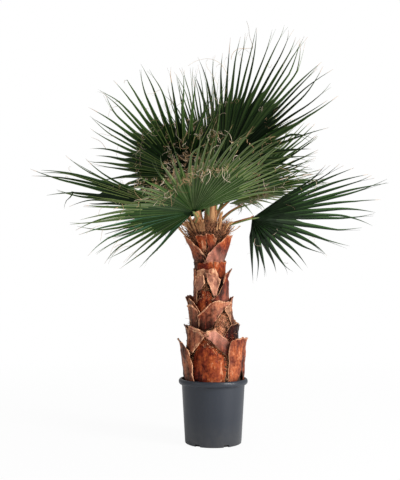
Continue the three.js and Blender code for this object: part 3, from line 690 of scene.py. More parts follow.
def moved(piece, shift):
    """Moves each point of a mesh by what shift gives for it, all in millimetres."""
    mesh = piece.data
    at = np.empty(len(mesh.vertices) * 3)
    mesh.vertices.foreach_get("co", at)
    points = at.reshape(-1, 3) / MM
    mesh.vertices.foreach_set("co", ((points + shift(points)) * MM).ravel())
    mesh.update()


def outward_of(mesh):
    normals = np.empty(len(mesh.vertices) * 3)
    mesh.vertices.foreach_get("normal", normals)
    return normals.reshape(-1, 3)


# ------------------------------------------------------------------ materials
def feed(tree, socket, value):
    """Gives a socket a value of its own or another node's output."""
    if isinstance(value, bpy.types.NodeSocket):
        tree.links.new(value, socket)
    else:
        socket.default_value = value


def put(tree, kind, sockets=None, **settings):
    """Adds a node with what its sockets take and its settings."""
    node = tree.nodes.new(kind)
    for key, value in settings.items():
        setattr(node, key, value)
    for key, value in (sockets or {}).items():
        feed(tree, node.inputs[key], value)
    return node


def place_of(tree):
    """Where a point lies in its object's own coordinates."""
    return put(tree, "ShaderNodeTexCoord").outputs["Object"]


def noise(tree, place, scale, detail):
    return put(tree, "ShaderNodeTexNoise", {"Vector": place, "Scale": scale, "Detail": detail}).outputs["Fac"]


def maths(tree, operation, *values, clamp=False):
    sockets = dict(enumerate(values))
    return put(tree, "ShaderNodeMath", sockets, operation=operation, use_clamp=clamp).outputs[0]


def between(tree, value, low, high, to_low=0.0, to_high=1.0):
    """The value spread from low..high to another range, and kept inside it."""
    ranges = {"Value": value, "From Min": low, "From Max": high, "To Min": to_low, "To Max": to_high}
    return put(tree, "ShaderNodeMapRange", ranges).outputs["Result"]


def blend_colours(tree, factor, first, second, mode="MIX"):
    sockets = {0: factor, 6: first, 7: second}
    return put(tree, "ShaderNodeMix", sockets, data_type="RGBA", blend_type=mode).outputs[2]


def dimmed(tree, colour, light, share=1.0):
    """The colour times a grey of this lightness, for a share of it."""
    grey = put(tree, "ShaderNodeCombineColor", {"Red": light, "Green": light, "Blue": light})
    return blend_colours(tree, share, colour, grey.outputs["Color"], "MULTIPLY")


def ramp(tree, factor, stops):
    """A colour ramp over (position, colour) stops."""
    node = put(tree, "ShaderNodeValToRGB", {"Fac": factor})
    elements = node.color_ramp.elements
    while len(elements) < len(stops):
        elements.new(0.5)
    for element, (position, colour) in zip(elements, stops):
        element.position = position
        element.color = shade(colour)
    return node.outputs["Color"]


def new_group(name, inputs, outputs):
    """An empty shader group: inputs as (name, kind, default), outputs as (name, kind)."""
    group = bpy.data.node_groups.new(name, "ShaderNodeTree")
    for label, kind, default in inputs:
        socket = group.interface.new_socket(name=label, in_out="INPUT", socket_type=kind)
        socket.default_value = default
    for label, kind in outputs:
        group.interface.new_socket(name=label, in_out="OUTPUT", socket_type=kind)
    return group, group.nodes.new("NodeGroupInput").outputs, group.nodes.new("NodeGroupOutput").inputs


def mottle_group():
    """Two colours in soft patches with finer flecks over them."""
    if "mottle" in bpy.data.node_groups:
        return bpy.data.node_groups["mottle"]
    group, given, result = new_group("mottle", (
        ("Low", "NodeSocketColor", (0, 0, 0, 1)), ("High", "NodeSocketColor", (1, 1, 1, 1)),
        ("Patches", "NodeSocketFloat", 20.0), ("Flecks", "NodeSocketFloat", 160.0),
    ), (("Color", "NodeSocketColor"), ("Height", "NodeSocketFloat")))
    place = place_of(group)
    patches = noise(group, place, given["Patches"], 3.0)
    flecks = noise(group, place, given["Flecks"], 2.0)
    patches, flecks = maths(group, "MULTIPLY", patches, 0.65), maths(group, "MULTIPLY", flecks, 0.35)
    total = maths(group, "ADD", patches, flecks)
    colour = blend_colours(group, between(group, total, 0.35, 0.65), given["Low"], given["High"])
    group.links.new(colour, result["Color"])
    group.links.new(total, result["Height"])
    return group


def grain_group():
    """Streaks along the trunk: high where a fibre stands out."""
    if "grain" in bpy.data.node_groups:
        return bpy.data.node_groups["grain"]
    group, given, result = new_group("grain", (
        ("Across", "NodeSocketFloat", 220.0), ("Along", "NodeSocketFloat", 18.0),
    ), (("Height", "NodeSocketFloat"),))
    scales = {"X": given["Across"], "Y": given["Across"], "Z": given["Along"]}
    stretch = put(group, "ShaderNodeCombineXYZ", scales)
    sockets = {0: place_of(group), 1: stretch.outputs["Vector"]}
    stretched = put(group, "ShaderNodeVectorMath", sockets, operation="MULTIPLY").outputs["Vector"]
    group.links.new(noise(group, stretched, 1.0, 4.0), result["Height"])
    return group


def use_group(tree, group, **values):
    return put(tree, "ShaderNodeGroup", values, node_tree=group).outputs


def grain(tree, across, along):
    """Streaks at so many to a metre across them and along them."""
    return use_group(tree, grain_group(), Across=across, Along=along)["Height"]


def new_material(name, **shader):
    """A material with one Principled shader; sockets by their name, _ for a space."""
    if name in bpy.data.materials:
        bpy.data.materials.remove(bpy.data.materials[name])
    material = bpy.data.materials.new(name)
    material.use_nodes = True
    surface = material.node_tree.nodes["Principled BSDF"]
    for key, value in shader.items():
        surface.inputs[key.replace("_", " ")].default_value = value
    return material, material.node_tree, surface


def relief(tree, surface, height, distance, strength=1.0):
    bump = put(tree, "ShaderNodeBump", {"Height": height, "Distance": distance, "Strength": strength})
    tree.links.new(bump.outputs["Normal"], surface.inputs["Normal"])


def mottled(name, low, high, patches, flecks, bump=0.0, **shader):
    """A finish in two tones, in patches and flecks at so many to a metre."""
    material, tree, surface = new_material(name, **shader)
    out = use_group(tree, mottle_group(), Low=shade(low), High=shade(high), Patches=patches, Flecks=flecks)
    tree.links.new(out["Color"], surface.inputs["Base Color"])
    if bump:
        relief(tree, surface, out["Height"], bump)
    return material


def darker(colour, share):
    return tuple(v * share for v in colour)


def tinged(colour, other, share):
    """The colour with a share of another one in it."""
    return tuple(mix(a, b, share) for a, b in zip(colour, other))


def plastic_finish(pot):
    """Moulded plastic: faint upright flow marks, dust towards the foot."""
    material, tree, surface = new_material("pot_plastic", IOR=1.46)
    streaks = grain(tree, 26.0, 2.0)
    place = place_of(tree)
    height = put(tree, "ShaderNodeSeparateXYZ", {"Vector": place}).outputs["Z"]
    dusty = maths(tree, "MULTIPLY", between(tree, height, 0.0, 0.09, 0.5, 0.0), noise(tree, place, 55.0, 6.0))
    base = blend_colours(tree, streaks, shade(darker(pot.plastic, 0.85)), shade(darker(pot.plastic, 1.15)))
    colour = blend_colours(tree, dusty, base, shade(tint(96, 92, 86)))
    tree.links.new(colour, surface.inputs["Base Color"])
    rough = between(tree, streaks, 0.3, 0.7, pot.roughness - 0.05, pot.roughness + 0.07)
    tree.links.new(rough, surface.inputs["Roughness"])
    relief(tree, surface, noise(tree, place, 900.0, 2.0), 0.00015, 0.5)
    return material


def boot_finish(trunk):
    """Old leaf base: maroon to orange in patches, streaked, with papery edges, a painted highlight in patches
    and painted shade at the foot.
    """
    material, tree, surface = new_material("leaf_base", Specular_IOR_Level=0.08)
    edge, warm, dry, worn, rise = (
        put(tree, "ShaderNodeAttribute", attribute_name=name).outputs["Fac"]
        for name in ("edge", "warm", "dry", "worn", "rise"))
    place = place_of(tree)
    blotch, speck, spots = (noise(tree, place, *each) for each in ((20.0, 3.0), (110.0, 5.0), (75.0, 2.0)))
    streak, broad = grain(tree, 170.0, 16.0), grain(tree, 55.0, 8.0)
    # the skin's tone, with painted shade that darkens it near the foot, broken up by the noises
    tone = maths(tree, "MULTIPLY_ADD", warm, 1.0, between(tree, rise, 0.0, 0.12, -0.2, 0.0))
    for layer, weight in ((blotch, 1.5), (speck, 0.9), (broad, 1.2)):
        tone = maths(tree, "MULTIPLY_ADD", maths(tree, "SUBTRACT", layer, 0.5), weight, tone)
    colour = ramp(tree, tone, (
        (0.0, darker(trunk.maroon, 0.4)), (0.25, trunk.maroon), (0.45, trunk.mauve), (0.6, trunk.russet),
        (0.85, trunk.orange), (1.0, tinged(trunk.orange, trunk.papery, 0.45))))
    # darker along the streaks of the grain and in scattered spots
    streaks, dark_spots = between(tree, streak, 0.34, 0.56, 0.64), between(tree, spots, 0.3, 0.4, 0.45)
    colour = dimmed(tree, colour, maths(tree, "MULTIPLY", streaks, dark_spots), 0.7)
    # papery where it is dry, a painted pinkish highlight in patches, papery along its edge
    paper = ramp(tree, maths(tree, "MULTIPLY_ADD", speck, 0.6, maths(tree, "MULTIPLY", streak, 0.5)), (
        (0.36, trunk.russet), (0.48, tinged(trunk.russet, trunk.papery, 0.45)), (0.6, trunk.papery),
        (0.75, darker(trunk.papery, 1.2))))
    dry_share = maths(tree, "MULTIPLY", dry, between(tree, blotch, 0.36, 0.52, 0.25), clamp=True)
    colour = blend_colours(tree, dry_share, colour, paper)
    painted_sheen_share = maths(tree, "POWER", worn, 1.8)
    painted_sheen_share = maths(tree, "MULTIPLY", painted_sheen_share, between(tree, broad, 0.32, 0.6, 0.35), clamp=True)
    colour = blend_colours(tree, painted_sheen_share, colour, shade(trunk.worn))
    width = between(tree, noise(tree, place, 28.0, 2.0), 0.34, 0.66, 0.05, 1.5)
    near_edge = between(tree, edge, width, maths(tree, "MULTIPLY", width, 0.5))
    edge_share = maths(tree, "MULTIPLY", near_edge, between(tree, dry, 0.0, 0.3, 0.45, 0.9))
    colour = blend_colours(tree, edge_share, colour, paper)
    # painted shadow: dark at the foot, where the base below overlaps it
    colour = dimmed(tree, colour, between(tree, rise, 0.0, 0.1, 0.12))
    tree.links.new(colour, surface.inputs["Base Color"])
    papery = maths(tree, "MULTIPLY", maths(tree, "MAXIMUM", dry_share, edge_share), 0.65)
    rough = maths(tree, "MAXIMUM", between(tree, tone, 0.3, 0.8, 0.3, 0.55), papery)
    tree.links.new(rough, surface.inputs["Roughness"])
    height = maths(tree, "MULTIPLY_ADD", streak, 0.7, maths(tree, "MULTIPLY", speck, 0.6))
    relief(tree, surface, height, 0.0022)
    return material


def streaked(name, low, high, across, along, bump, **shader):
    """A fibrous finish: streaks of two tones that run upwards."""
    material, tree, surface = new_material(name, **shader)
    streak = grain(tree, across, along)
    colour = ramp(tree, streak, ((0.32, low), (0.68, high)))
    tree.links.new(colour, surface.inputs["Base Color"])
    relief(tree, surface, streak, bump)
    return material


def leaf_finishes(leaf):
    """Five greens, pale and dark ribs, dry tips and two tones of shade, by number."""
    def leafy(name, colour, contrast, roughness, shine=0.25):
        return mottled(name, darker(colour, 1 - contrast), darker(colour, 1 + contrast), 14.0, 240.0,
                       bump=0.0002, Roughness=roughness, Specular_IOR_Level=shine)
    return [
        leafy("leaf_deep", leaf.deep, 0.3, 0.42, 0.14),
        leafy("leaf_mid", leaf.mid, 0.25, 0.42, 0.2),
        leafy("leaf_bright", leaf.bright, 0.2, 0.5),
        # pale is the leaflets' own greyish tone and also a painted sheen where they catch the light; blue is
        # a painted sheen
        leafy("leaf_pale", leaf.under, 0.22, 0.6),
        leafy("leaf_blue", leaf.blue, 0.22, 0.38, 0.4),
        leafy("leaf_rib", leaf.rib, 0.12, 0.5),
        leafy("leaf_rib_dark", leaf.dark_rib, 0.12, 0.5),
        leafy("leaf_dry", leaf.dry, 0.3, 0.75),
        leafy("leaf_shade", leaf.shade, 0.3, 0.6, 0.05),
        leafy("leaf_dusk", tinged(leaf.shade, leaf.deep, 0.5), 0.3, 0.5, 0.1),
    ]


# ------------------------------------------------------------------ pot, soil
def pot_profile():
    """Radius and height up the outside, over the rolled lip and down inside."""
    height, foot, body, floor = (POT[key] for key in ("height", "foot", "body", "floor"))
    neck, inner, inner_foot = height - POT["rim_depth"], body - POT["wall"], foot - POT["wall"]
    across, tall = (POT["rim"] - body) * 0.5 + 1.5, POT["rim_depth"] * 0.5
    roll = [(POT["rim"] - across + across * math.cos(a), neck + tall + tall * math.sin(a))
            for a in np.radians(np.linspace(-78, 122, 15))]
    return [
        (foot - 2.6, 0), (foot - 0.9, 0.9), (foot, 3), (foot + 1.44, 28), (body - 6, neck * 0.5),
        (body - 0.4, neck - 8), (body, neck - 1.2), *roll, (inner + 1, height - 6), (inner, neck - 6),
        (inner - 6, neck * 0.5), (inner_foot, floor + 2), (inner_foot - 3, floor),
    ]


def make_pot(pot):
    piece = turned("nursery_pot", pot_profile(), POT["segments"])
    cutters = []
    for i in range(POT["notches"]):
        turn = POT["notch_azimuth"] + i * 360 / POT["notches"]
        cutter = added(
            bpy.ops.mesh.primitive_cube_add, size=1, location=tuple(toward(turn, POT["foot"], 0) * MM),
            rotation=(0, 0, math.radians(turn)), scale=tuple(v * MM for v in POT["notch"]))
        settle(cutter)
        apply_modifier(cutter, "BEVEL", width=POT["notch_round"] * MM, segments=3)
        cutters.append(cutter)
    cutter = join(cutters)
    apply_modifier(piece, "BOOLEAN", operation="DIFFERENCE", solver="EXACT", object=cutter)
    bpy.data.objects.remove(cutter)
    sharp = math.radians(50)
    apply_modifier(piece, "BEVEL", width=pot.lip_bevel, segments=2, limit_method="ANGLE", angle_limit=sharp)
    select_only(piece)
    bpy.ops.object.shade_smooth_by_angle(angle=math.radians(40))
    finished(piece, plastic_finish(pot))
    hand_over(piece, "pot", "pot")


def soil_profile():
    """Radius and height up the pot's wall, over the top and down to the trunk's foot."""
    deep, neck = TRUNK_RADIUS[0] + SOIL["gap"], TRUNK_RADIUS[1] + SOIL["gap"]
    inner_foot, wall = POT["foot"] - POT["wall"], POT["body"] - POT["wall"] - 0.9
    foot = (inner_foot - 0.6, POT["floor"] + 5)
    side = [(mix(foot[0], wall, t), mix(foot[1], SOIL["edge"], t)) for t in (0.5, 1)]
    top = [(mix(wall, neck + 0.4, t), mix(SOIL["edge"], SOIL["shoulder"], math.sin(t * math.pi / 2)))
           for t in np.linspace(0.12, 1, 8)]
    return [
        (inner_foot - 4.5, POT["floor"] + 0.5), foot, *side, *top,
        (neck, SOIL["shoulder"] - 1), (deep, TRUNK_HEIGHT[0]),
    ]


def make_soil(pot):
    piece = turned("potting_mix", soil_profile(), SOIL["segments"])

    def lumps(points):
        r = np.hypot(points[:, 0], points[:, 1])
        top = smooth((points[:, 2] - SOIL["edge"] + 4) / 6) * (r > TRUNK_RADIUS[1] + 1.5)
        inner = r < POT["body"] - POT["wall"] - 2
        rise = 0.6 * wobble(points, 16, SEEDS["lumps"]) + 0.4 * wobble(points, 6, SEEDS["small_lumps"])
        return UP * (SOIL["lump"] * rise * top * inner)[:, None]

    moved(piece, lumps)
    select_only(piece)
    bpy.ops.object.shade_smooth()
    dark, light = darker(pot.soil, 0.45), darker(pot.soil, 1.7)
    earth = mottled("soil", dark, light, 60.0, 420.0, bump=0.004, Roughness=0.95)
    finished(piece, earth)
    hand_over(piece, "soil", "potting_soil")
    make_crumbs(earth)


def make_crumbs(earth):
    """Crumbs of bark and soil that lie on the soil and against the bases."""
    rng = np.random.default_rng(SEEDS["crumbs"])
    n, heaped = SOIL["crumbs"], SOIL["heap_azimuth"]
    azimuth = np.where(rng.random(n) < 0.4, rng.normal(heaped, 9, n), rng.uniform(-180, 180, n))
    r = rng.uniform(TRUNK_RADIUS[1] + 3, POT["body"] - POT["wall"] - 4, n)
    heap = np.exp(-((azimuth - heaped) / 10) ** 2) * rng.uniform(0, SOIL["heap"], n)
    at = toward(azimuth, r, SOIL["shoulder"] - 3 + heap + rng.uniform(-1, 2, n))
    loose = n
    at = np.concatenate([at, gap_places(rng, 8)[::2]])
    n = len(at)
    size = rng.uniform(1.2, 3.8, (n, 1, 1)) * rng.uniform(0.6, 1.2, (n, 1, 3))
    size[loose:] *= 0.75
    path = rng.normal(size=(n, 3))
    side = unit(np.cross(path, rng.normal(size=(n, 3))))
    along = unit(np.cross(side, rng.normal(size=(n, 3))))
    up = np.cross(along, side)
    turn = np.arange(5) * 2 * np.pi / 5
    ring = side[:, None] * np.cos(turn)[:, None] + up[:, None] * np.sin(turn)[:, None]
    rings = [at[:, None] + along[:, None] * step * size + ring * width * size for step, width in CRUMB_RINGS]
    points, faces, where = loft(np.stack(rings, axis=1))
    bark = mottled("bark_crumb", tint(64, 44, 30), tint(150, 112, 78), 90.0, 500.0, Roughness=0.9)
    chip = mottled("bark_chip", tint(140, 98, 68), tint(206, 160, 122), 90.0, 500.0, Roughness=0.9)
    on_soil, in_gaps = (rng.choice(3, n, p=CRUMB_KINDS[key]) for key in ("soil", "gaps"))
    kind = np.where(np.arange(n) < loose, on_soil, in_gaps)
    piece = add_piece("soil_crumbs", points, faces, [earth, bark, chip], kind[where[:, 0]], False)
    hand_over(piece, "soil")


# ---------------------------------------------------------------------- trunk
def make_trunk(trunk):
    """The bare stem, seen between the bases, with its relief of old fibre."""
    heights = np.append(np.arange(TRUNK_HEIGHT[0], TRUNK_HEIGHT[-1], TRUNK_MESH["step"]), TRUNK_HEIGHT[-1])
    azimuth = np.arange(TRUNK_MESH["around"]) * 360 / TRUNK_MESH["around"]
    z, a = np.meshgrid(heights, azimuth, indexing="ij")
    plain = toward(a, core_radius(z), z)
    stretched = plain * (1, 1, 0.28)
    depth = trunk.relief / MM
    layers = ((0.5, stretched, 7), (0.35, plain, 14), (0.3, stretched, 3.5))
    rough = layered(layers, SEEDS["bark"])
    above = smooth((z - 206) / 8) * smooth((CROWN_TOP - z) / 30)
    grown = toward(a, core_radius(z) + np.clip(depth * 0.5 * rough, -depth, depth * 0.35) * above, z, lean(z))
    points, faces, _ = loft(grown[None])
    # the fibre's own dark brown, made near black as painted shade for the deep gaps between the bases
    bark = streaked("stem_fibre", tint(26, 15, 10), tint(92, 60, 38), 260.0, 40.0, 0.003, Roughness=0.9)
    piece = add_piece("trunk_core", points, faces, [bark])
    hand_over(piece, "trunk", "trunk")


def base_list():
    """Each base's node, its row and the seed of its unevenness."""
    shown = {row["node"] for row in SHEETS}
    for t, row in enumerate(TIERS):
        for k in range(5):
            node = f"leaf_base_{t + 1}{'abcde'[k]}"
            if node not in shown:
                own = BOOT | row | {"warm": row["warm"][k], "dry": row["dry"][k]} | OWN.get(node, {})
                own["azimuth"] += 72 * k
                yield node, own, SEEDS["bases"] + 10 * t + k
    for i, row in enumerate(SHEETS):
        yield row["node"], row, SEEDS["sheets"] + i


def ragged(u, rise, seed):
    return wobble(np.stack([u * 3, np.full_like(u, seed), rise * 2], -1), 1.6, seed)


def shape_boot(row, seed, u, rise):
    """Where a base's surface is, and how many rims' widths each point is from its edge."""
    roll = dice(seed)
    azimuth = row["azimuth"] + UNEVEN["turn"] * next(roll)
    lip = row["lip"] + UNEVEN["lip"] * next(roll)
    flare = row["flare"] * (1 + UNEVEN["flare"] * max(0, next(roll)))
    split = row["split"] * (1 + UNEVEN["split"] * next(roll))
    foot = row["foot"] + split * np.maximum(0, 1 - np.abs(u) / 0.5)
    top = lip + row["arch"] * (1 - u * u) + 3.2 * ragged(u, rise, seed) * smooth((rise - 0.55) / 0.45)
    z = mix(foot, top, rise)
    v = (z - row["foot"]) / (row["lip"] - row["foot"])
    ease = np.clip(v, 0, 1.1) ** row["late"] if "late" in row else smooth(v) * 0.6 + v * v * 0.4
    half = mix(row["foot_half"], row["lip_half"], ease)
    waves = wobble(np.stack([rise * 4, u * 0, u * 0 + seed], -1), 1.3, seed + 7)
    half = half * (1 + 0.03 * waves * np.abs(u))
    out = core_radius(z) + row["seat"] + row["ramp"] * smooth((u + 1) / 2) + flare * v * v + BOOT["thickness"]
    side = (1 - np.abs(u)) * np.radians(half) * out
    curl = rolled_edge(side, top - z, row["roll"])
    edge = edge_distance(side, top - z, z - foot, row["rim"])
    return toward(azimuth + u * half, out + curl, z, lean(z)), edge


def edge_distance(side, below_top, above_foot, rim):
    """How many rims' widths a point is from the base's nearest edge."""
    return np.minimum(np.minimum(side * 1.5, below_top), above_foot) / rim


def rolled_edge(side, below_top, wide):
    """How far the papery rim turns outwards."""
    at_side = EDGE_ROLL["side"] * np.exp(-np.maximum(side, 0) / EDGE_ROLL["side_reach"])
    return at_side + wide * np.exp(-np.maximum(below_top, 0) / EDGE_ROLL["top_reach"])


def along_edge(points, t):
    """Places at the shares t along an edge given by a few points."""
    points = np.array(points, float)
    run = run_along(points)
    return places_at(t * run[-1], run, points)


def over_base(value, u, rise):
    """A value over a base: one for all of it, or one for each of its corners."""
    foot_left, foot_right, top_left, top_right = np.broadcast_to(value, 4)
    s = (u + 1) / 2
    return mix(mix(foot_left, foot_right, s), mix(top_left, top_right, s), rise)


def azimuth_of(x, out, z, limit):
    """The azimuth at which something this far from the stem's axis shows at x."""
    return np.degrees(np.arcsin(np.clip((x - lean(z)) / out, -limit, limit)))


def shape_sheet(row, seed, u, rise):
    """A base spanned between its four edges and laid round the stem."""
    s, r = (u[:, None] + 1) / 2, rise[:, None]
    foot, top = along_edge(row["foot"], s[:, 0]), along_edge(row["top"], s[:, 0])
    corners = [np.array(row[edge][end], float) for edge in ("foot", "top") for end in (0, -1)]
    left = along_edge((corners[0], *row["left"], corners[2]), rise)
    right = along_edge((corners[1], *row["right"], corners[3]), rise)
    straight = mix(mix(corners[0], corners[1], s), mix(corners[2], corners[3], s), r)
    flat = mix(foot, top, r) + mix(left, right, s) - straight
    width = np.linalg.norm(right - left, axis=1)
    height = np.linalg.norm(top - foot, axis=1)
    side, below_top, above_foot = (1 - np.abs(u)) / 2 * width, (1 - rise) * height, rise * height
    x, z = flat[:, 0], flat[:, 1] + 2.0 * ragged(u, rise, seed) * smooth((rise - 0.6) / 0.4)
    crumple = over_base(row["dry"], u, rise) * (3 * wobble(np.stack([x, z * 0.6, x * 0], -1), 24, seed) - 2)
    out = core_radius(z) + row["seat"] + BOOT["thickness"] + row["flare"] * rise ** 2
    out = out + row["bulge"] * np.sin(np.pi * s[:, 0]) * np.sin(np.pi * rise) + crumple
    curl = rolled_edge(side, below_top, row["roll"])
    at = toward(azimuth_of(x, out, z, 0.985), out + curl, z, lean(z))
    return at, edge_distance(side, below_top, above_foot, row["rim"])


def make_leaf_bases(trunk):
    """Each base starts as a grid, is bent into its shield, then given a wall."""
    finish = boot_finish(trunk)
    pieces, nodes = [], []
    for node, row, seed in base_list():
        piece = added(bpy.ops.mesh.primitive_grid_add, x_subdivisions=BOOT["across"],
                      y_subdivisions=BOOT["up"], size=2)
        mesh = piece.data
        flat = np.empty(len(mesh.vertices) * 3)
        mesh.vertices.foreach_get("co", flat)
        u, rise = flat.reshape(-1, 3)[:, 0], flat.reshape(-1, 3)[:, 1] * 0.5 + 0.5
        shape = shape_sheet if "top" in row else shape_boot
        at, edge = shape(row, seed, u, rise)
        mesh.vertices.foreach_set("co", (at * MM).ravel())
        looks = {name: over_base(row[name], u, rise) for name in ("warm", "dry", "worn")}
        for name, values in (("edge", edge), ("rise", rise), *looks.items()):
            layer = mesh.attributes.new(name, "FLOAT", "POINT")
            layer.data.foreach_set("value", np.ascontiguousarray(values, dtype=np.float32))
        mesh.materials.append(finish)
        pieces.append(piece)
        if node:
            nodes.append(node)
    piece = join(pieces)
    piece.name = piece.data.name = "leaf_bases"
    apply_modifier(piece, "SOLIDIFY", thickness=BOOT["thickness"] * MM, offset=-1)
    normals = outward_of(piece.data)

    def wrinkles(points):
        stretched = points * (1, 1, 0.3)
        depth = layered(((1.1, stretched, 17), (0.8, points, 38), (0.35, stretched, 5)), SEEDS["wrinkles"])
        return normals * np.clip(depth, -2.4, 2.4)[:, None]

    moved(piece, wrinkles)
    select_only(piece)
    bpy.ops.object.shade_smooth()
    hand_over(piece, "leaf_base", *nodes)


# ---------------------------------------------------------------------- fibre
def strand_paths(start, heading, length, curl, stations, seed, sink=0.0):
    """Wandering paths: each turns by its own curl and a drift, and may sink."""
    rng = np.random.default_rng(seed)
    n = len(start)
    axis = unit(rng.normal(size=(n, 3)))
    at = [start]
    heading = unit(heading)
    step = (length / (stations - 1))[:, None]
    for _ in range(stations - 1):
        heading = unit(heading + np.cross(axis, heading) * curl[:, None] + [0, 0, -sink])
        axis = unit(axis + 0.35 * rng.normal(size=(n, 3)))
        at.append(at[-1] + heading * step)
    return np.stack(at, axis=1)


def gap_places(rng, thick):
    """Places in the gaps between the bases in front, at the stem's surface."""
    spots = []
    for x0, x1, z0, z1, count, lift in GAPS:
        x, z = rng.uniform(x0, x1, count), rng.uniform(z0, z1, count)
        out = core_radius(z) + lift + rng.uniform(-1.5, thick - 2, count)
        spots.append(toward(azimuth_of(x, out, z, 0.98), out, z, lean(z)))
    return np.concatenate(spots)


def gap_strands():
    """Tangled fibre in the gaps between the bases in front."""
    rng = np.random.default_rng(SEEDS["gaps"])
    start = gap_places(rng, 6)
    n = len(start)
    heading = rng.normal(size=start.shape) * (1, 0.4, 1.2)
    lengths, curls = rng.uniform(*FIBRE["gap_length"], n), rng.normal(0, 0.4, n)
    return strand_paths(start, heading, lengths, curls, FIBRE["stations"], SEEDS["gap_paths"])


def crown_strands(rng, n):
    """Fibre that stands up round the crown."""
    azimuth = rng.uniform(-180, 180, n)
    z = rng.uniform(*FIBRE["crown"], n)
    start = toward(azimuth, core_radius(z) + rng.uniform(-1, 16, n) * smooth((z - 700) / 40), z, lean(z))
    heading = toward(azimuth, 1.0, 0.0) * rng.uniform(0.05, 0.55, (n, 1))
    heading = heading + toward(azimuth + 90, 1.0, 0.0) * rng.normal(0, 0.45, (n, 1))
    heading = heading + UP * rng.uniform(0.3, 1.0, (n, 1))
    lengths, curls = rng.uniform(*FIBRE["crown_length"], n), rng.normal(0, 0.2, n)
    return strand_paths(start, heading, lengths, curls, FIBRE["stations"], SEEDS["crown"])


def net_strands(rng, n):
    """Fibre that crosses over the bare stem and is held close to it."""
    azimuth = rng.uniform(-180, 180, n)
    z = rng.uniform(*FIBRE["net"], n)
    start = toward(azimuth, core_radius(z) + rng.uniform(0.5, 3, n), z, lean(z))
    across = toward(azimuth + 90, 1.0, 0.0) * np.sign(rng.normal(size=(n, 1)))
    heading = across * rng.uniform(0.2, 1.0, (n, 1)) + UP * rng.uniform(0.3, 1.0, (n, 1))
    lengths, curls = rng.uniform(*FIBRE["net_length"], n), rng.normal(0, 0.05, n)
    net = strand_paths(start, heading, lengths, curls, FIBRE["stations"], SEEDS["net"])
    x, y, z = np.moveaxis(net, -1, 0)
    r = np.hypot(x - lean(z), y)
    pull = np.clip(r, core_radius(z) + 0.6, core_radius(z) + 6) / r
    return np.stack([lean(z) + (x - lean(z)) * pull, y * pull, z], axis=-1)


def make_fibre(trunk):
    """The net of fibre round the crown and between the bases."""
    rng = np.random.default_rng(SEEDS["fibre"])
    n = trunk.fibres
    crown, net = crown_strands(rng, n), net_strands(rng, round(n * FIBRE["net_share"]))
    filling = gap_strands()
    paths = np.concatenate([crown, net, filling])
    thick = rng.uniform(*FIBRE["radius"], (len(paths), 1)) * np.linspace(1, 0.55, FIBRE["stations"])
    points, faces, where = loft(tubes(paths, thick))
    tones = (("fibre_dark", 0.25, 0.6), ("fibre_brown", 0.7, 1.3), ("fibre_light", 1.6, 2.8))
    finishes = [
        mottled(name, darker(trunk.fibre, low), darker(trunk.fibre, high), 60.0, 300.0, Roughness=0.85)
        for name, low, high in tones]
    kind = rng.choice(3, len(paths), p=(0.35, 0.45, 0.2))
    kind[-len(filling):] = rng.choice(3, len(filling), p=(0.15, 0.35, 0.5))
    piece = add_piece("crown_fibre", points, faces, finishes, kind[where[:, 0]])
    hand_over(piece, "trunk")


# ---------------------------------------------------------------------- stems
def blade_axes(f):
    """Along a blade's middle line, out of its upper face, and across it."""
    az, el, roll = (math.radians(f[key]) for key in ("az", "el", "roll"))
    m = np.array([math.sin(az) * math.cos(el), -math.cos(az) * math.cos(el), math.sin(el)])
    n0 = unit(UP - m * m[2])
    n = n0 * math.cos(roll) + np.cross(m, n0) * math.sin(roll)
    return m, n, np.cross(m, n)


def swept(at, along, facing, width, depth):
    """Rings of the stem's section along a path."""
    n = unit(facing - along * dot(facing, along))
    s = np.cross(along, n)
    x, y = np.array(STEM_SECTION).T
    x, y = x * width[:, None] / 2, y * depth[:, None]
    return at[:, None] + s[:, None] * x[..., None] + n[:, None] * y[..., None]


def stem_path(f):
    """The stem's middle line, its directions, and each point's share of its length."""
    m, n, _ = blade_axes(f)
    azimuth, out, height, slope = f["root"]
    tilt = math.radians(slope)
    start = toward(azimuth, out, height, lean(height))
    off = STEM["clear"] + 0.75 * STEM["hub_width"] * math.tan(math.radians(max(0, f["half"] - 90)))
    end = np.array(f["hub"], float) - m * off
    reach = np.linalg.norm(end - start) * STEM["pull"]
    rise = toward(azimuth, math.cos(tilt), math.sin(tilt))
    at = bezier(start, start + rise * reach, end - m * reach, end, STEM["stations"])
    t = np.linspace(0, 1, STEM["stations"] + 1)
    inward = toward(azimuth, -math.sin(tilt), math.cos(tilt) + 1e-3)
    facing = mix(inward, n, smooth(t)[:, None])
    return at, unit(np.gradient(at, axis=0)), facing, t


def teeth_along(rings, seed):
    """Hooked teeth down both margins."""
    rng = np.random.default_rng(seed)
    run = run_along(rings.mean(axis=1))
    spots = np.arange(run[-1] * TEETH["from"], run[-1] * TEETH["to"], TEETH["spacing"])
    n = len(spots)
    left, right = rings[:, STEM_MARGINS[0]], rings[:, STEM_MARGINS[2]]
    paths = []
    for margin, other in ((left, right), (right, left)):
        where = spots + rng.uniform(-2.5, 2.5, n)
        foot = places_at(where, run, margin)
        ahead = places_at(where + 1, run, margin) - foot
        out = unit(foot - places_at(where, run, other))
        smaller = np.interp(where, (0, run[-1]), (1.1, 0.6))[:, None]
        size = TEETH["length"] * rng.uniform(0.55, 1.1, (n, 1)) * smaller
        hook = rng.choice((-0.7, 0.7), (n, 1))
        tip = foot + out * size + unit(ahead) * size * hook
        paths.append(np.stack([foot - out * 0.8, foot + out * size * 0.5, tip], axis=1))
    paths = np.concatenate(paths)
    thick = np.array([TEETH["width"] / 2, TEETH["width"] * 0.3, 0.12])
    return tubes(paths, np.broadcast_to(thick, paths.shape[:2]), corners=4)


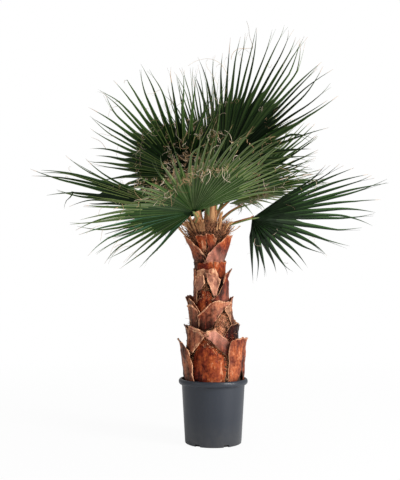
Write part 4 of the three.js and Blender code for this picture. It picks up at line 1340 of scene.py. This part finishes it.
def make_stems(leaf):
    stem, margin = leaf.stem, leaf.margin
    finishes = [
        mottled("stem_green", darker(stem, 0.7), darker(stem, 1.25), 30.0, 260.0, 0.0003, Roughness=0.5),
        mottled("stem_margin", darker(margin, 0.6), darker(margin, 1.3), 45.0, 260.0, 0.0003, Roughness=0.6),
        streaked("stem_dry", tint(122, 70, 36), tint(206, 146, 92), 340.0, 30.0, 0.001, Roughness=0.75),
    ]
    for i, f in enumerate(FRONDS):
        own = STEM | OWN_STEMS.get(f["name"], {})
        at, along, facing, t = stem_path(f)
        width = mix(STEM["foot_width"], STEM["hub_width"], t ** 0.6)
        width = width * (1 + own["sheath"] * np.exp(-t / 0.05)) * own["broad"]
        rings = swept(at, along, facing, width, mix(STEM["foot_depth"], STEM["hub_depth"], t))
        points, faces, where = loft(rings[None])
        _, station, corner = where.T
        slots = np.isin(corner, STEM_MARGINS).astype(int)
        dry_to = own["dry_part"] * STEM["stations"] * (1 + 0.25 * np.sin(corner * 2.4 + i))
        green_strip = (corner == STEM_UNDERSIDE) & (own["dry_part"] == 1)
        slots = np.where((station < dry_to) & ~green_strip, 2, slots)
        teeth, tooth_faces, _ = loft(teeth_along(rings, SEEDS["teeth"] + i))
        rib = blade_rib(f, own["rib_into_blade"])
        points, faces, slots = joined([(points, faces, slots), (teeth, tooth_faces, 1), rib])
        piece = add_piece(f"stem_{f['name']}_dressed", points, faces, finishes, slots)
        hand_over(piece, "stem", f"stem_{f['name']}")


def blade_rib(f, length):
    """The stem's end as it runs on under the blade, and the small tongue above."""
    m, n, _ = blade_axes(f)
    hub = np.array(f["hub"], float)
    t = np.linspace(0, 1, 7)
    under = hub + m * (t * length - 2)[:, None] - n * mix(2.4, 4.0, t)[:, None]
    size = STEM["hub_width"] * mix(1.05, 0.12, t)
    rib, rib_faces, _ = loft(swept(under, m[None], n[None], size, size * 0.6)[None])
    t = np.linspace(0, 1, 6)
    over = hub + m * (t * 15 - 5)[:, None] + n * (1.5 + 5.5 * t ** 1.5)[:, None]
    width = 2 * STEM["hub_width"] * np.sqrt(np.maximum(1 - t ** 2, 0.01))
    along = unit(np.gradient(over, axis=0))
    tongue, tongue_faces, _ = loft(swept(over, along, n[None], width, np.full(len(t), 1.6))[None])
    return joined([(rib, rib_faces, 0), (tongue, tongue_faces, 1)])


def stump_rows():
    """Cut stems and torn strips: azimuth, distance, foot, length, lean, width, depth, taper, bow."""
    rows = [(*row, STUMP_TAPER, 0) for row in STUMPS]
    size = SHARD["width"], SHARD["depth"], SHARD["taper"], SHARD["bow"]
    for azimuth, foot, *rest in SHARDS:
        rows.append((azimuth, core_radius(foot) + SHARD["stand_off"], foot, *rest, *size))
    for azimuth, foot, *rest in TORN:
        rows.append((azimuth, core_radius(foot) + SHARD["stand_off"] + 4, foot, *rest, STUMP_TAPER, 0.2))
    return rows


def make_stumps():
    """Stems cut off short, with frayed ends, and torn strips round them."""
    wood = streaked("cut_stem", tint(150, 92, 52), tint(226, 176, 122), 380.0, 26.0, 0.0012, Roughness=0.75)
    pith = mottled("cut_face", tint(170, 126, 84), tint(236, 204, 158), 200.0, 900.0, 0.0008, Roughness=0.85)
    parts = []
    for i, (azimuth, out, foot, length, tilt, width, depth, taper, bow) in enumerate(stump_rows()):
        rng = np.random.default_rng(SEEDS["stumps"] + i)
        t = np.linspace(0, 1, 12)
        tilt = math.radians(tilt)
        start = toward(azimuth, out, foot, lean(foot))
        along = toward(azimuth, math.sin(tilt), math.cos(tilt))
        facing = toward(azimuth, -math.cos(tilt), math.sin(tilt))
        at = start + along * (t * length)[:, None] - facing * (bow * length * 0.3 * t * (1 - t))[:, None]
        width = width * (1 - taper * t ** (1 + bow))
        rings = swept(at, along[None], facing[None], width, np.full(len(t), depth))
        slant = rng.uniform(-0.25, 0.25) * (rings[-1] - at[-1]) @ np.cross(along, facing)
        rings[-1] += along * (slant + rng.uniform(-1.4, 0.6, len(STEM_SECTION)))[:, None]
        points, faces, where = loft(rings[None])
        parts.append((points, faces, (where[:, 1] < 0).astype(int)))
        n = FRAY["stump"] if i < len(STUMPS) else FRAY["strip"]
        pick = rng.integers(0, len(STEM_SECTION), n)
        fray = mix(rings[-1][pick], rings[-1].mean(axis=0), rng.uniform(0, 0.9, (n, 1)))
        headings = along + rng.normal(0, 0.16, (n, 3))
        lengths, curls = rng.uniform(5, 12, n), rng.normal(0, 0.12, n)
        start, stations = fray - along * 4, len(FRAY["radius"])
        strands = strand_paths(start, headings, lengths, curls, stations, SEEDS["fray"] + i)
        strand_points, strand_faces, _ = loft(tubes(strands, np.array(FRAY["radius"])[None]))
        parts.append((strand_points, strand_faces, 1))
    points, faces, slots = joined(parts)
    piece = add_piece("cut_stems", points, faces, [wood, pith], slots)
    hand_over(piece, "stump", *(f"stem_stump_{i + 1}" for i in range(len(STUMPS))))


# --------------------------------------------------------------------- blades
def finer(f):
    """The frond's row as its leaflets use it: more of them, from a shifted hub."""
    f = LEAFLET | f | OWN_LEAFLETS.get(f["name"], {})
    return f | {"count": round(f["count"] * f["finer"]), "hub": tuple(np.add(f["hub"], f["hub_shift"]))}


def leaflet_turn(f, u, chance):
    """How far round its fan a leaflet lies; u goes from -1 to 1 round the fan."""
    (parting, wider), (first, last) = f["gap"], f["ends"]
    closer = u + f["skew"] * (1 - u * u) + math.copysign(wider, u - parting)
    stray = chance * f["stray"] * f["half"] * 2 / f["count"]
    return math.radians(closer * f["half"] + stray + last * max(0, u) ** 2 - first * max(0, -u) ** 2)


def leaflet_length(f, u, chance):
    less, centre, width = f["dip"]
    length = f["reach"] * (1 - f["short"] * abs(u) ** f["trim"]) * (1 + f["uneven"] * chance)
    length *= 1 + max(0, f["slant"] * u)
    return length * (1 - less * math.exp(-((u - centre) / width) ** 2))


def leaflet_lines(f):
    """Every leaflet's middle line, walked out from the hub in even steps."""
    m, n, s = blade_axes(f)
    roll = dice(f["seed"])
    fold = math.radians(f["fold"])
    hub = np.array(f["hub"], float)
    t = ((np.arange(f["steps"]) + 0.5) / f["steps"])[:, None]
    at, along, faces = [], [], []
    for i in range(f["count"]):
        u = -1 + 2 * (i + 0.5) / f["count"]
        turn, size, sag = next(roll), next(roll), next(roll)
        phi = leaflet_turn(f, u, turn)
        side = 1 if phi >= 0 else -1
        lift = abs(math.sin(phi))
        d = m * math.cos(phi) + s * lift * side * math.cos(fold) + n * lift * math.sin(fold)
        steps = unit(d - UP * f["droop"] * (1 + f["sag"] * sag) * t ** f["late"] - n * f["bend"] * t)
        walked = np.cumsum(steps, axis=0) * leaflet_length(f, u, size) / f["steps"]
        at.append(np.concatenate([hub[None], hub + walked]))
        along.append(np.concatenate([d[None], steps]))
        faces.append(n * math.cos(fold) - s * side * math.sin(fold))
    return np.array(at), np.array(along), np.array(faces)


def freed(f, k, web):
    """How far each step k is along the free part of a leaflet, from 0 to 1."""
    return np.clip((k - web) / (f["steps"] - web), 0, 1)


def liven(f, at, along, facing, rng):
    """Gives the free ends their own sway, and breaks a few tips downwards."""
    count, stations, _ = at.shape
    k = np.arange(stations)
    free = freed(f, k, f["web"])
    direct = at[:, :1] + (at[:, -1:] - at[:, :1]) * (k / f["steps"])[:, None]
    at = mix(at, direct, f["straight"])
    across = np.cross(along, facing)

    def some(size):
        return rng.normal(0, size, (count, 1, 1))

    sway = some(SWAY["across"]) * across + some(SWAY["through"]) * facing
    late = np.clip((free - WHIP_FROM) / (1 - WHIP_FROM), 0, 1) ** 1.6
    whip = some(SWAY["whip_across"]) * across + some(SWAY["whip_through"]) * facing
    sink = -UP * rng.uniform(0, SWAY["sink"], (count, 1, 1))
    moves = sway * (free ** 2)[:, None] + whip * late[:, None] + sink * (free ** 2.4)[:, None]
    at = at + f["reach"] * moves
    for i in np.flatnonzero(rng.random(count) < KINKED["share"]):
        start = int(rng.integers(KINKED["from"], KINKED["to"]))
        arm = at[i, start + 1:] - at[i, start]
        bend = KINKED["turn"] * rng.normal(0, 1, 3)
        at[i, start + 1:] += np.cross(bend, arm) - 0.5 * np.dot(bend, bend) * arm
    for i in np.flatnonzero(rng.random(count) < f["broken"]):
        start = int(rng.integers(BROKEN["from"], BROKEN["to"]))
        step = np.linalg.norm(at[i, start] - at[i, start - 1]) * BROKEN["step"]
        way = unit(along[i, start] * BROKEN["keep"] - UP + rng.normal(0, BROKEN["stray"], 3))
        for j in range(start + 1, stations):
            way = unit(way - BROKEN["drop"] * UP)
            at[i, j] = at[i, j - 1] + way * step
    return at, unit(np.gradient(at, axis=1))


def leaflet_margins(f, at, facing, rng):
    """Ribs and both margins: shared where the leaflets join, their own beyond."""
    count, stations, _ = at.shape
    k = np.arange(stations)
    # the partings lie unevenly, so each margin leaves its neighbour on its own
    slope, arch = f["web_arch"]
    round_fan = np.linspace(-1, 1, count + 1)
    web = f["web"] + f["uneven_web"] * rng.uniform(-1.2, 0.8, count + 1)
    web += slope * round_fan - arch * round_fan ** 2
    first = at[:1] + (at[:1] - at[1:2]) * f["edge_spread"]
    last = at[-1:] + (at[-1:] - at[-2:-1]) * f["edge_spread"]
    ridge = np.concatenate([first, (at[:-1] + at[1:]) / 2, last])
    lift = unit(np.concatenate([facing[:1], facing[:-1] + facing[1:], facing[-1:]]))
    gap = np.linalg.norm(at[1:] - at[:-1], axis=-1) / 2
    gap = np.concatenate([gap[:1], (gap[:-1] + gap[1:]) / 2, gap[-1:]])
    settled = f["web"] + 1
    depth = f["pleat"] * gap[:, np.minimum(k, settled)]
    ridge = ridge + lift * np.concatenate([depth[:1], depth])[:, :, None]
    rib = at - facing * depth[..., None]
    across = unit(np.cross(unit(np.gradient(at, axis=1)), facing))
    crease = [math.radians(v) for v in f["crease"]]
    margins = []
    for ends, side in ((slice(0, count), -1), (slice(1, count + 1), 1)):
        margin, own_web = ridge[ends], web[ends, None]
        free = freed(f, k, own_web)
        at_web = np.linalg.norm(margin[:, settled] - rib[:, settled], axis=-1)
        at_web = np.minimum(at_web, f["widest"] * np.median(at_web))[:, None]
        width = at_web * np.minimum(1.12 * (1 - free) ** f["taper"], 1) * mix(1, f["slim"], smooth(free * 4))
        width = width * (1 + f["belly"] * np.sin(np.pi * free))
        slope = mix(*crease, free)
        own = rib + across * (side * np.cos(slope) * width)[..., None]
        own = own + facing * (np.sin(slope) * width)[..., None]
        apart = smooth((k - own_web) / 2.5)[..., None]
        margins.append(mix(margin, own, apart))
    return rib, *margins


def leaflet_halves(f, rng):
    """Each leaflet as two half blades that part where its tip is split.

    Gives their rings, the middle lines with their directions, and the points
    where each leaflet parts from the next."""
    at, along, face = leaflet_lines(f)
    facing = unit(face[:, None] - along * dot(face[:, None], along))
    at, along = liven(f, at, along, facing, rng)
    facing = unit(facing - along * dot(facing, along))
    count, stations, _ = at.shape
    k = np.arange(stations)
    rib, left, right = leaflet_margins(f, at, facing, rng)
    across = unit(np.cross(along, facing))
    forked = rng.random(count) < SPLIT_TIPS["share"]
    start = (SPLIT_TIPS["from"] + rng.integers(-2, 3, count))[:, None]
    part = freed(f, k, start) ** 1.4 * forked[:, None]
    opening = part * f["reach"] * SPLIT_TIPS["spread"] * rng.uniform(*SPLIT_TIPS["wider"], (count, 1))
    # across a half: the rib, the rib's edge, the sheet's middle and its margin
    from_rib = np.array([0, f["rib_width"], 0.55, 1])
    thin = f["thickness"] * np.array([f["rib"], 1.0, 0.8, 0.55]) / 2
    under = thin * np.array([1.9, 1.0, 1.0, 1.0])
    # the sheet thins out with the leaflet, and its halves sag a little
    fine = (1 - 0.6 * freed(f, k, f["web"]) ** 2)[:, None, None]
    hollow = (np.sin(from_rib * np.pi) * 0.35 * fine[..., 0])[..., None]
    rings = []
    for side, margin in ((-1, left), (1, right)):
        inner = rib + across * (side * opening)[..., None]
        outer = margin + across * (side * opening)[..., None]
        row = inner[:, :, None] + (outer - inner)[:, :, None] * from_rib[:, None]
        row = row - facing[:, :, None] * hollow
        top = row + facing[:, :, None] * (thin[:, None] * fine)
        low = row - facing[:, :, None] * (under[:, None] * fine)
        rings.append(np.concatenate([top, low[:, :, ::-1]], axis=2))
    partings = (right[:-1, f["web"]] + left[1:, f["web"]]) / 2
    return np.stack(rings, axis=1).reshape(count * 2, stations, 8, 3), at, along, facing, partings


def deal_leaf_slots(f, where, bright_half, rng):
    """Which finish each triangle has: a green, a rib, a dry tip or deep shade."""
    count = f["count"]
    looks = LEAF_LOOKS.get(f["name"], LEAF_LOOKS["otherwise"])
    zone = np.digitize(-1 + 2 * (np.arange(count) + 0.5) / count, LEAF_ZONES)
    tone = np.array([rng.choice(GREENS, p=looks["shares"][z]) for z in zone])
    half, station, corner = where.T
    leaflet = half // 2
    turned_away = ((half % 2 == bright_half[leaflet]) != np.isin(corner, ON_TOP)) & looks["painted_half_shade"]
    slots = tone[leaflet]
    # painted shade: the half of each leaflet turned from the light, and the strip beside its rib in the fold,
    # each turn one finish darker
    for darker_there in (turned_away, np.isin(corner, BY_THE_RIB)):
        slots = np.where(darker_there, SHADED_GREEN[slots], slots)
    # painted deep shade near the hub, darker again nearest it
    dim_to = (np.array(looks["shade_to"])[zone] * rng.uniform(0.7, 1.3, count))[leaflet]
    for end in (1.5, 0.8):
        slots = np.where(station < end * dim_to, SHADED_GREEN[slots], slots)
    has_dry_end = rng.random(count) < DRY["share"]
    early = rng.integers(DRY["from"], DRY["usual"] + 1, count)
    dry_from = np.where(has_dry_end, early, DRY["usual"] + (rng.random(count) < 0.5))
    parts_at = f["web"] + rng.uniform(-3, 2, count)
    rib = np.where(station < parts_at[leaflet], looks["web_rib"], looks["free_rib"])
    # ribs in the painted shade near the hub take the deep green
    rib = np.where(station < 1.2 * dim_to, 0, rib)
    slots = np.where(np.isin(corner, RIB_CORNERS), rib, slots)
    return np.where(station >= dry_from[leaflet], DRY["slot"], slots)


def make_blades(leaf):
    finishes = leaf_finishes(leaf)
    for f in map(finer, FRONDS):
        rng = np.random.default_rng(SEEDS["leaflets"] + f["seed"])
        rings, _, along, facing, _ = leaflet_halves(f, rng)
        points, faces, where = loft(rings)
        across = np.cross(along, facing)[:, f["web"]]
        slots = deal_leaf_slots(f, where, (across @ np.array(SUN_SIDE) < 0).astype(int), rng)
        piece = add_piece(f"leaflets_{f['name']}", points, faces, finishes, slots)
        hand_over(piece, "blade", f"blade_{f['name']}")


def make_threads(leaf):
    """Curled threads that hang where the leaflets part and along their edges."""
    rng = np.random.default_rng(SEEDS["threads"])
    starts, headings, lengths, curls = [], [], [], []
    for f in map(finer, FRONDS):
        same = np.random.default_rng(SEEDS["leaflets"] + f["seed"])
        _, at, along, facing, partings = leaflet_halves(f, same)
        each = leaf.threads * f["threads"]
        if each:
            n = round(each * len(partings))
            chosen = (np.mod(rng.normal(*f["threads_at"], n), 1) * len(partings)).astype(int)
            out = along[chosen, f["web"]]
            starts.append(partings[chosen] + rng.normal(0, 3, (n, 3)))
            headings.append(out + rng.normal(0, 0.75, out.shape))
            lengths.append(rng.uniform(*THREAD["length"], n))
            curls.append(rng.uniform(0.15, 0.65, n) * rng.choice((-1, 1), n))
        # a thread along each leaflet where there are many, or along a third of them
        i = rng.choice(len(at), len(at) if each > leaf.threads else len(at) // 3, replace=False)
        k = rng.integers(f["web"] + 2, f["steps"] - 3, len(i))
        starts.append(at[i, k] + np.cross(along[i, k], facing[i, k]) * rng.normal(0, 2.5, (len(i), 1)))
        headings.append(along[i, k] + rng.normal(0, 0.5, (len(i), 3)))
        lengths.append(rng.uniform(*THREAD["length"], len(i)))
        curls.append(rng.normal(0, 0.35, len(i)))
    for *ranges, n in TANGLES:
        starts.append(np.stack([rng.uniform(*span, n) for span in ranges], axis=1))
        headings.append(rng.normal(size=(n, 3)) * (1, 0.3, 1))
        lengths.append(rng.uniform(*THREAD["tangled"], n))
        curls.append(rng.uniform(0.3, 0.9, n) * rng.choice((-1, 1), n))
    for column, values in zip((starts, headings, lengths, curls), zip(*ARCS)):
        column.append(values)
    start, heading, length, curl = (np.concatenate(each) for each in (starts, headings, lengths, curls))
    stations, sink = THREAD["stations"], THREAD["sink"]
    paths = strand_paths(start, heading, length, curl, stations, SEEDS["thread_paths"], sink)
    thick = rng.uniform(*THREAD["radius"], (len(paths), 1)) * np.linspace(1, 0.6, THREAD["stations"])
    points, faces, where = loft(tubes(paths, thick))
    finishes = [
        mottled("thread_tan", darker(leaf.dry, 0.7), darker(leaf.dry, 1.3), 40.0, 200.0, Roughness=0.8),
        mottled("thread_pale", tint(226, 200, 170), tint(246, 230, 208), 40.0, 200.0, Roughness=0.8),
        mottled("thread_brown", darker(leaf.dry, 0.2), darker(leaf.dry, 0.5), 40.0, 200.0, Roughness=0.8),
    ]
    kind = rng.choice(3, len(paths), p=(0.5, 0.35, 0.15))
    piece = add_piece("leaf_threads", points, faces, finishes, kind[where[:, 0]])
    hand_over(piece, "blade")


# ---------------------------------------------------------------------- stage
def area_light(name, place, target, size, power):
    light = bpy.data.lights.new(name, "AREA")
    light.shape = "DISK"
    light.size = size
    light.energy = power
    lamp = bpy.data.objects.new(name, light)
    bpy.context.collection.objects.link(lamp)
    lamp.location = place
    x, y, z = np.subtract(target, place).tolist()
    lamp.rotation_euler = (math.atan2(math.hypot(x, y), -z), 0, math.atan2(-x, y))


def make_surroundings(stage):
    world = bpy.data.worlds.new("soft_studio")
    world.use_nodes = True
    bpy.context.scene.world = world
    tree = world.node_tree
    tree.nodes.clear()
    seen = put(tree, "ShaderNodeLightPath").outputs["Is Camera Ray"]
    light = put(tree, "ShaderNodeBackground", {"Color": (1, 1, 1, 1), "Strength": stage.sky})
    backdrop = put(tree, "ShaderNodeBackground", {"Color": (1, 1, 1, 1), "Strength": 1.0})
    both = put(tree, "ShaderNodeMixShader", {0: seen, 1: light.outputs[0], 2: backdrop.outputs[0]})
    out = put(tree, "ShaderNodeOutputWorld")
    tree.links.new(both.outputs[0], out.inputs["Surface"])


def floor_finish(stage):
    """A pale floor that shows whiter to the camera the farther out it is."""
    material, tree, surface = new_material("floor", Base_Color=shade(stage.floor), Roughness=0.9)
    seen = put(tree, "ShaderNodeLightPath").outputs["Is Camera Ray"]
    glow = put(tree, "ShaderNodeEmission", {"Color": (1, 1, 1, 1), "Strength": 1.0})
    away = put(tree, "ShaderNodeVectorMath", {0: place_of(tree)}, operation="LENGTH").outputs["Value"]
    washed = between(tree, away, FLOOR["glow_from"], FLOOR["glow_to"], stage.glow, 1.0)
    share = maths(tree, "MULTIPLY", seen, washed)
    sockets = {0: share, 1: surface.outputs["BSDF"], 2: glow.outputs["Emission"]}
    both = put(tree, "ShaderNodeMixShader", sockets)
    tree.links.new(both.outputs["Shader"], tree.nodes["Material Output"].inputs["Surface"])
    return material


def make_stage(stage):
    floor = added(bpy.ops.mesh.primitive_plane_add, size=FLOOR["size"])
    floor.name = floor.data.name = "floor"
    finished(floor, floor_finish(stage))
    floor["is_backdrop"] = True
    make_surroundings(stage)
    for name, setting, place, target, size in LIGHTS:
        area_light(name, place, target, size, getattr(stage, setting))
    scene = bpy.context.scene
    scene.view_settings.view_transform = "Standard"
    camera = bpy.data.cameras.new("camera")
    camera.lens = CAMERA["lens"]
    camera.sensor_width = CAMERA["sensor"]
    holder = bpy.data.objects.new("camera", camera)
    bpy.context.collection.objects.link(holder)
    holder.location = CAMERA["place"]
    holder.rotation_euler = (math.radians(90 + CAMERA["pitch"]), 0, 0)
    scene.camera = holder


# -------------------------------------------------------------------- add-on
class PALM_OT_stage(bpy.types.Operator):
    """Add the pale floor, the soft lights and the camera"""
    bl_idname = "palm.stage"
    bl_label = "Stage"

    def execute(self, context):
        make_stage(context.scene.palm_stage)
        return {"FINISHED"}


class PALM_OT_pot(bpy.types.Operator):
    """Add the nursery pot with its rolled lip and drain notches"""
    bl_idname = "palm.pot"
    bl_label = "Pot"

    def execute(self, context):
        make_pot(context.scene.palm_pot)
        return {"FINISHED"}


class PALM_OT_soil(bpy.types.Operator):
    """Add the potting soil and its crumbs"""
    bl_idname = "palm.soil"
    bl_label = "Soil"

    def execute(self, context):
        make_soil(context.scene.palm_pot)
        return {"FINISHED"}


class PALM_OT_trunk(bpy.types.Operator):
    """Add the bare stem with its relief"""
    bl_idname = "palm.trunk"
    bl_label = "Trunk"

    def execute(self, context):
        make_trunk(context.scene.palm_trunk)
        return {"FINISHED"}


class PALM_OT_leaf_bases(bpy.types.Operator):
    """Add the old leaf bases that clad the trunk"""
    bl_idname = "palm.leaf_bases"
    bl_label = "Leaf bases"

    def execute(self, context):
        make_leaf_bases(context.scene.palm_trunk)
        return {"FINISHED"}


class PALM_OT_fibre(bpy.types.Operator):
    """Add the fibre round the crown and between the bases"""
    bl_idname = "palm.fibre"
    bl_label = "Fibre"

    def execute(self, context):
        make_fibre(context.scene.palm_trunk)
        return {"FINISHED"}


class PALM_OT_stems(bpy.types.Operator):
    """Add the toothed stems"""
    bl_idname = "palm.stems"
    bl_label = "Stems"

    def execute(self, context):
        make_stems(context.scene.palm_leaf)
        return {"FINISHED"}


class PALM_OT_stumps(bpy.types.Operator):
    """Add the stems that were cut off short"""
    bl_idname = "palm.stumps"
    bl_label = "Cut stems"

    def execute(self, context):
        make_stumps()
        return {"FINISHED"}


class PALM_OT_blades(bpy.types.Operator):
    """Add the fan blades, leaflet by leaflet"""
    bl_idname = "palm.blades"
    bl_label = "Blades"

    def execute(self, context):
        make_blades(context.scene.palm_leaf)
        return {"FINISHED"}


class PALM_OT_threads(bpy.types.Operator):
    """Add the curled threads of the blades"""
    bl_idname = "palm.threads"
    bl_label = "Threads"

    def execute(self, context):
        make_threads(context.scene.palm_leaf)
        return {"FINISHED"}


class PALM_PT_panel(bpy.types.Panel):
    """Lists the pieces of the palm and their settings"""
    bl_idname = "PALM_PT_panel"
    bl_label = "Potted fan palm"
    bl_space_type = "VIEW_3D"
    bl_region_type = "UI"
    bl_category = "Palm"

    def draw(self, context):
        for group in SETTINGS:
            box = self.layout.box()
            for key in SETTINGS[group].__annotations__:
                box.prop(getattr(context.scene, group), key)
        for operator in OPERATORS:
            self.layout.operator(operator.bl_idname)


SETTINGS = {
    "palm_pot": PalmPotSettings,
    "palm_trunk": PalmTrunkSettings,
    "palm_leaf": PalmLeafSettings,
    "palm_stage": PalmStageSettings,
}
OPERATORS = (
    PALM_OT_stage, PALM_OT_pot, PALM_OT_soil, PALM_OT_trunk, PALM_OT_leaf_bases, PALM_OT_fibre,
    PALM_OT_stems, PALM_OT_stumps, PALM_OT_blades, PALM_OT_threads,
)


def register():
    for name, group in SETTINGS.items():
        bpy.utils.register_class(group)
        setattr(bpy.types.Scene, name, bpy.props.PointerProperty(type=group))
    for each in (*OPERATORS, PALM_PT_panel):
        bpy.utils.register_class(each)


def unregister():
    for each in (PALM_PT_panel, *reversed(OPERATORS)):
        bpy.utils.unregister_class(each)
    for name, group in SETTINGS.items():
        delattr(bpy.types.Scene, name)
        bpy.utils.unregister_class(group)


def main():
    register()
    for name in PIECES:
        getattr(bpy.ops.palm, name)()
    sizes = {"cad": CAD_BOX, "visual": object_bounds()}
    plain = {name: [list(map(float, corner)) for corner in box] for name, box in sizes.items()}


if __name__ == "__main__":
    main()
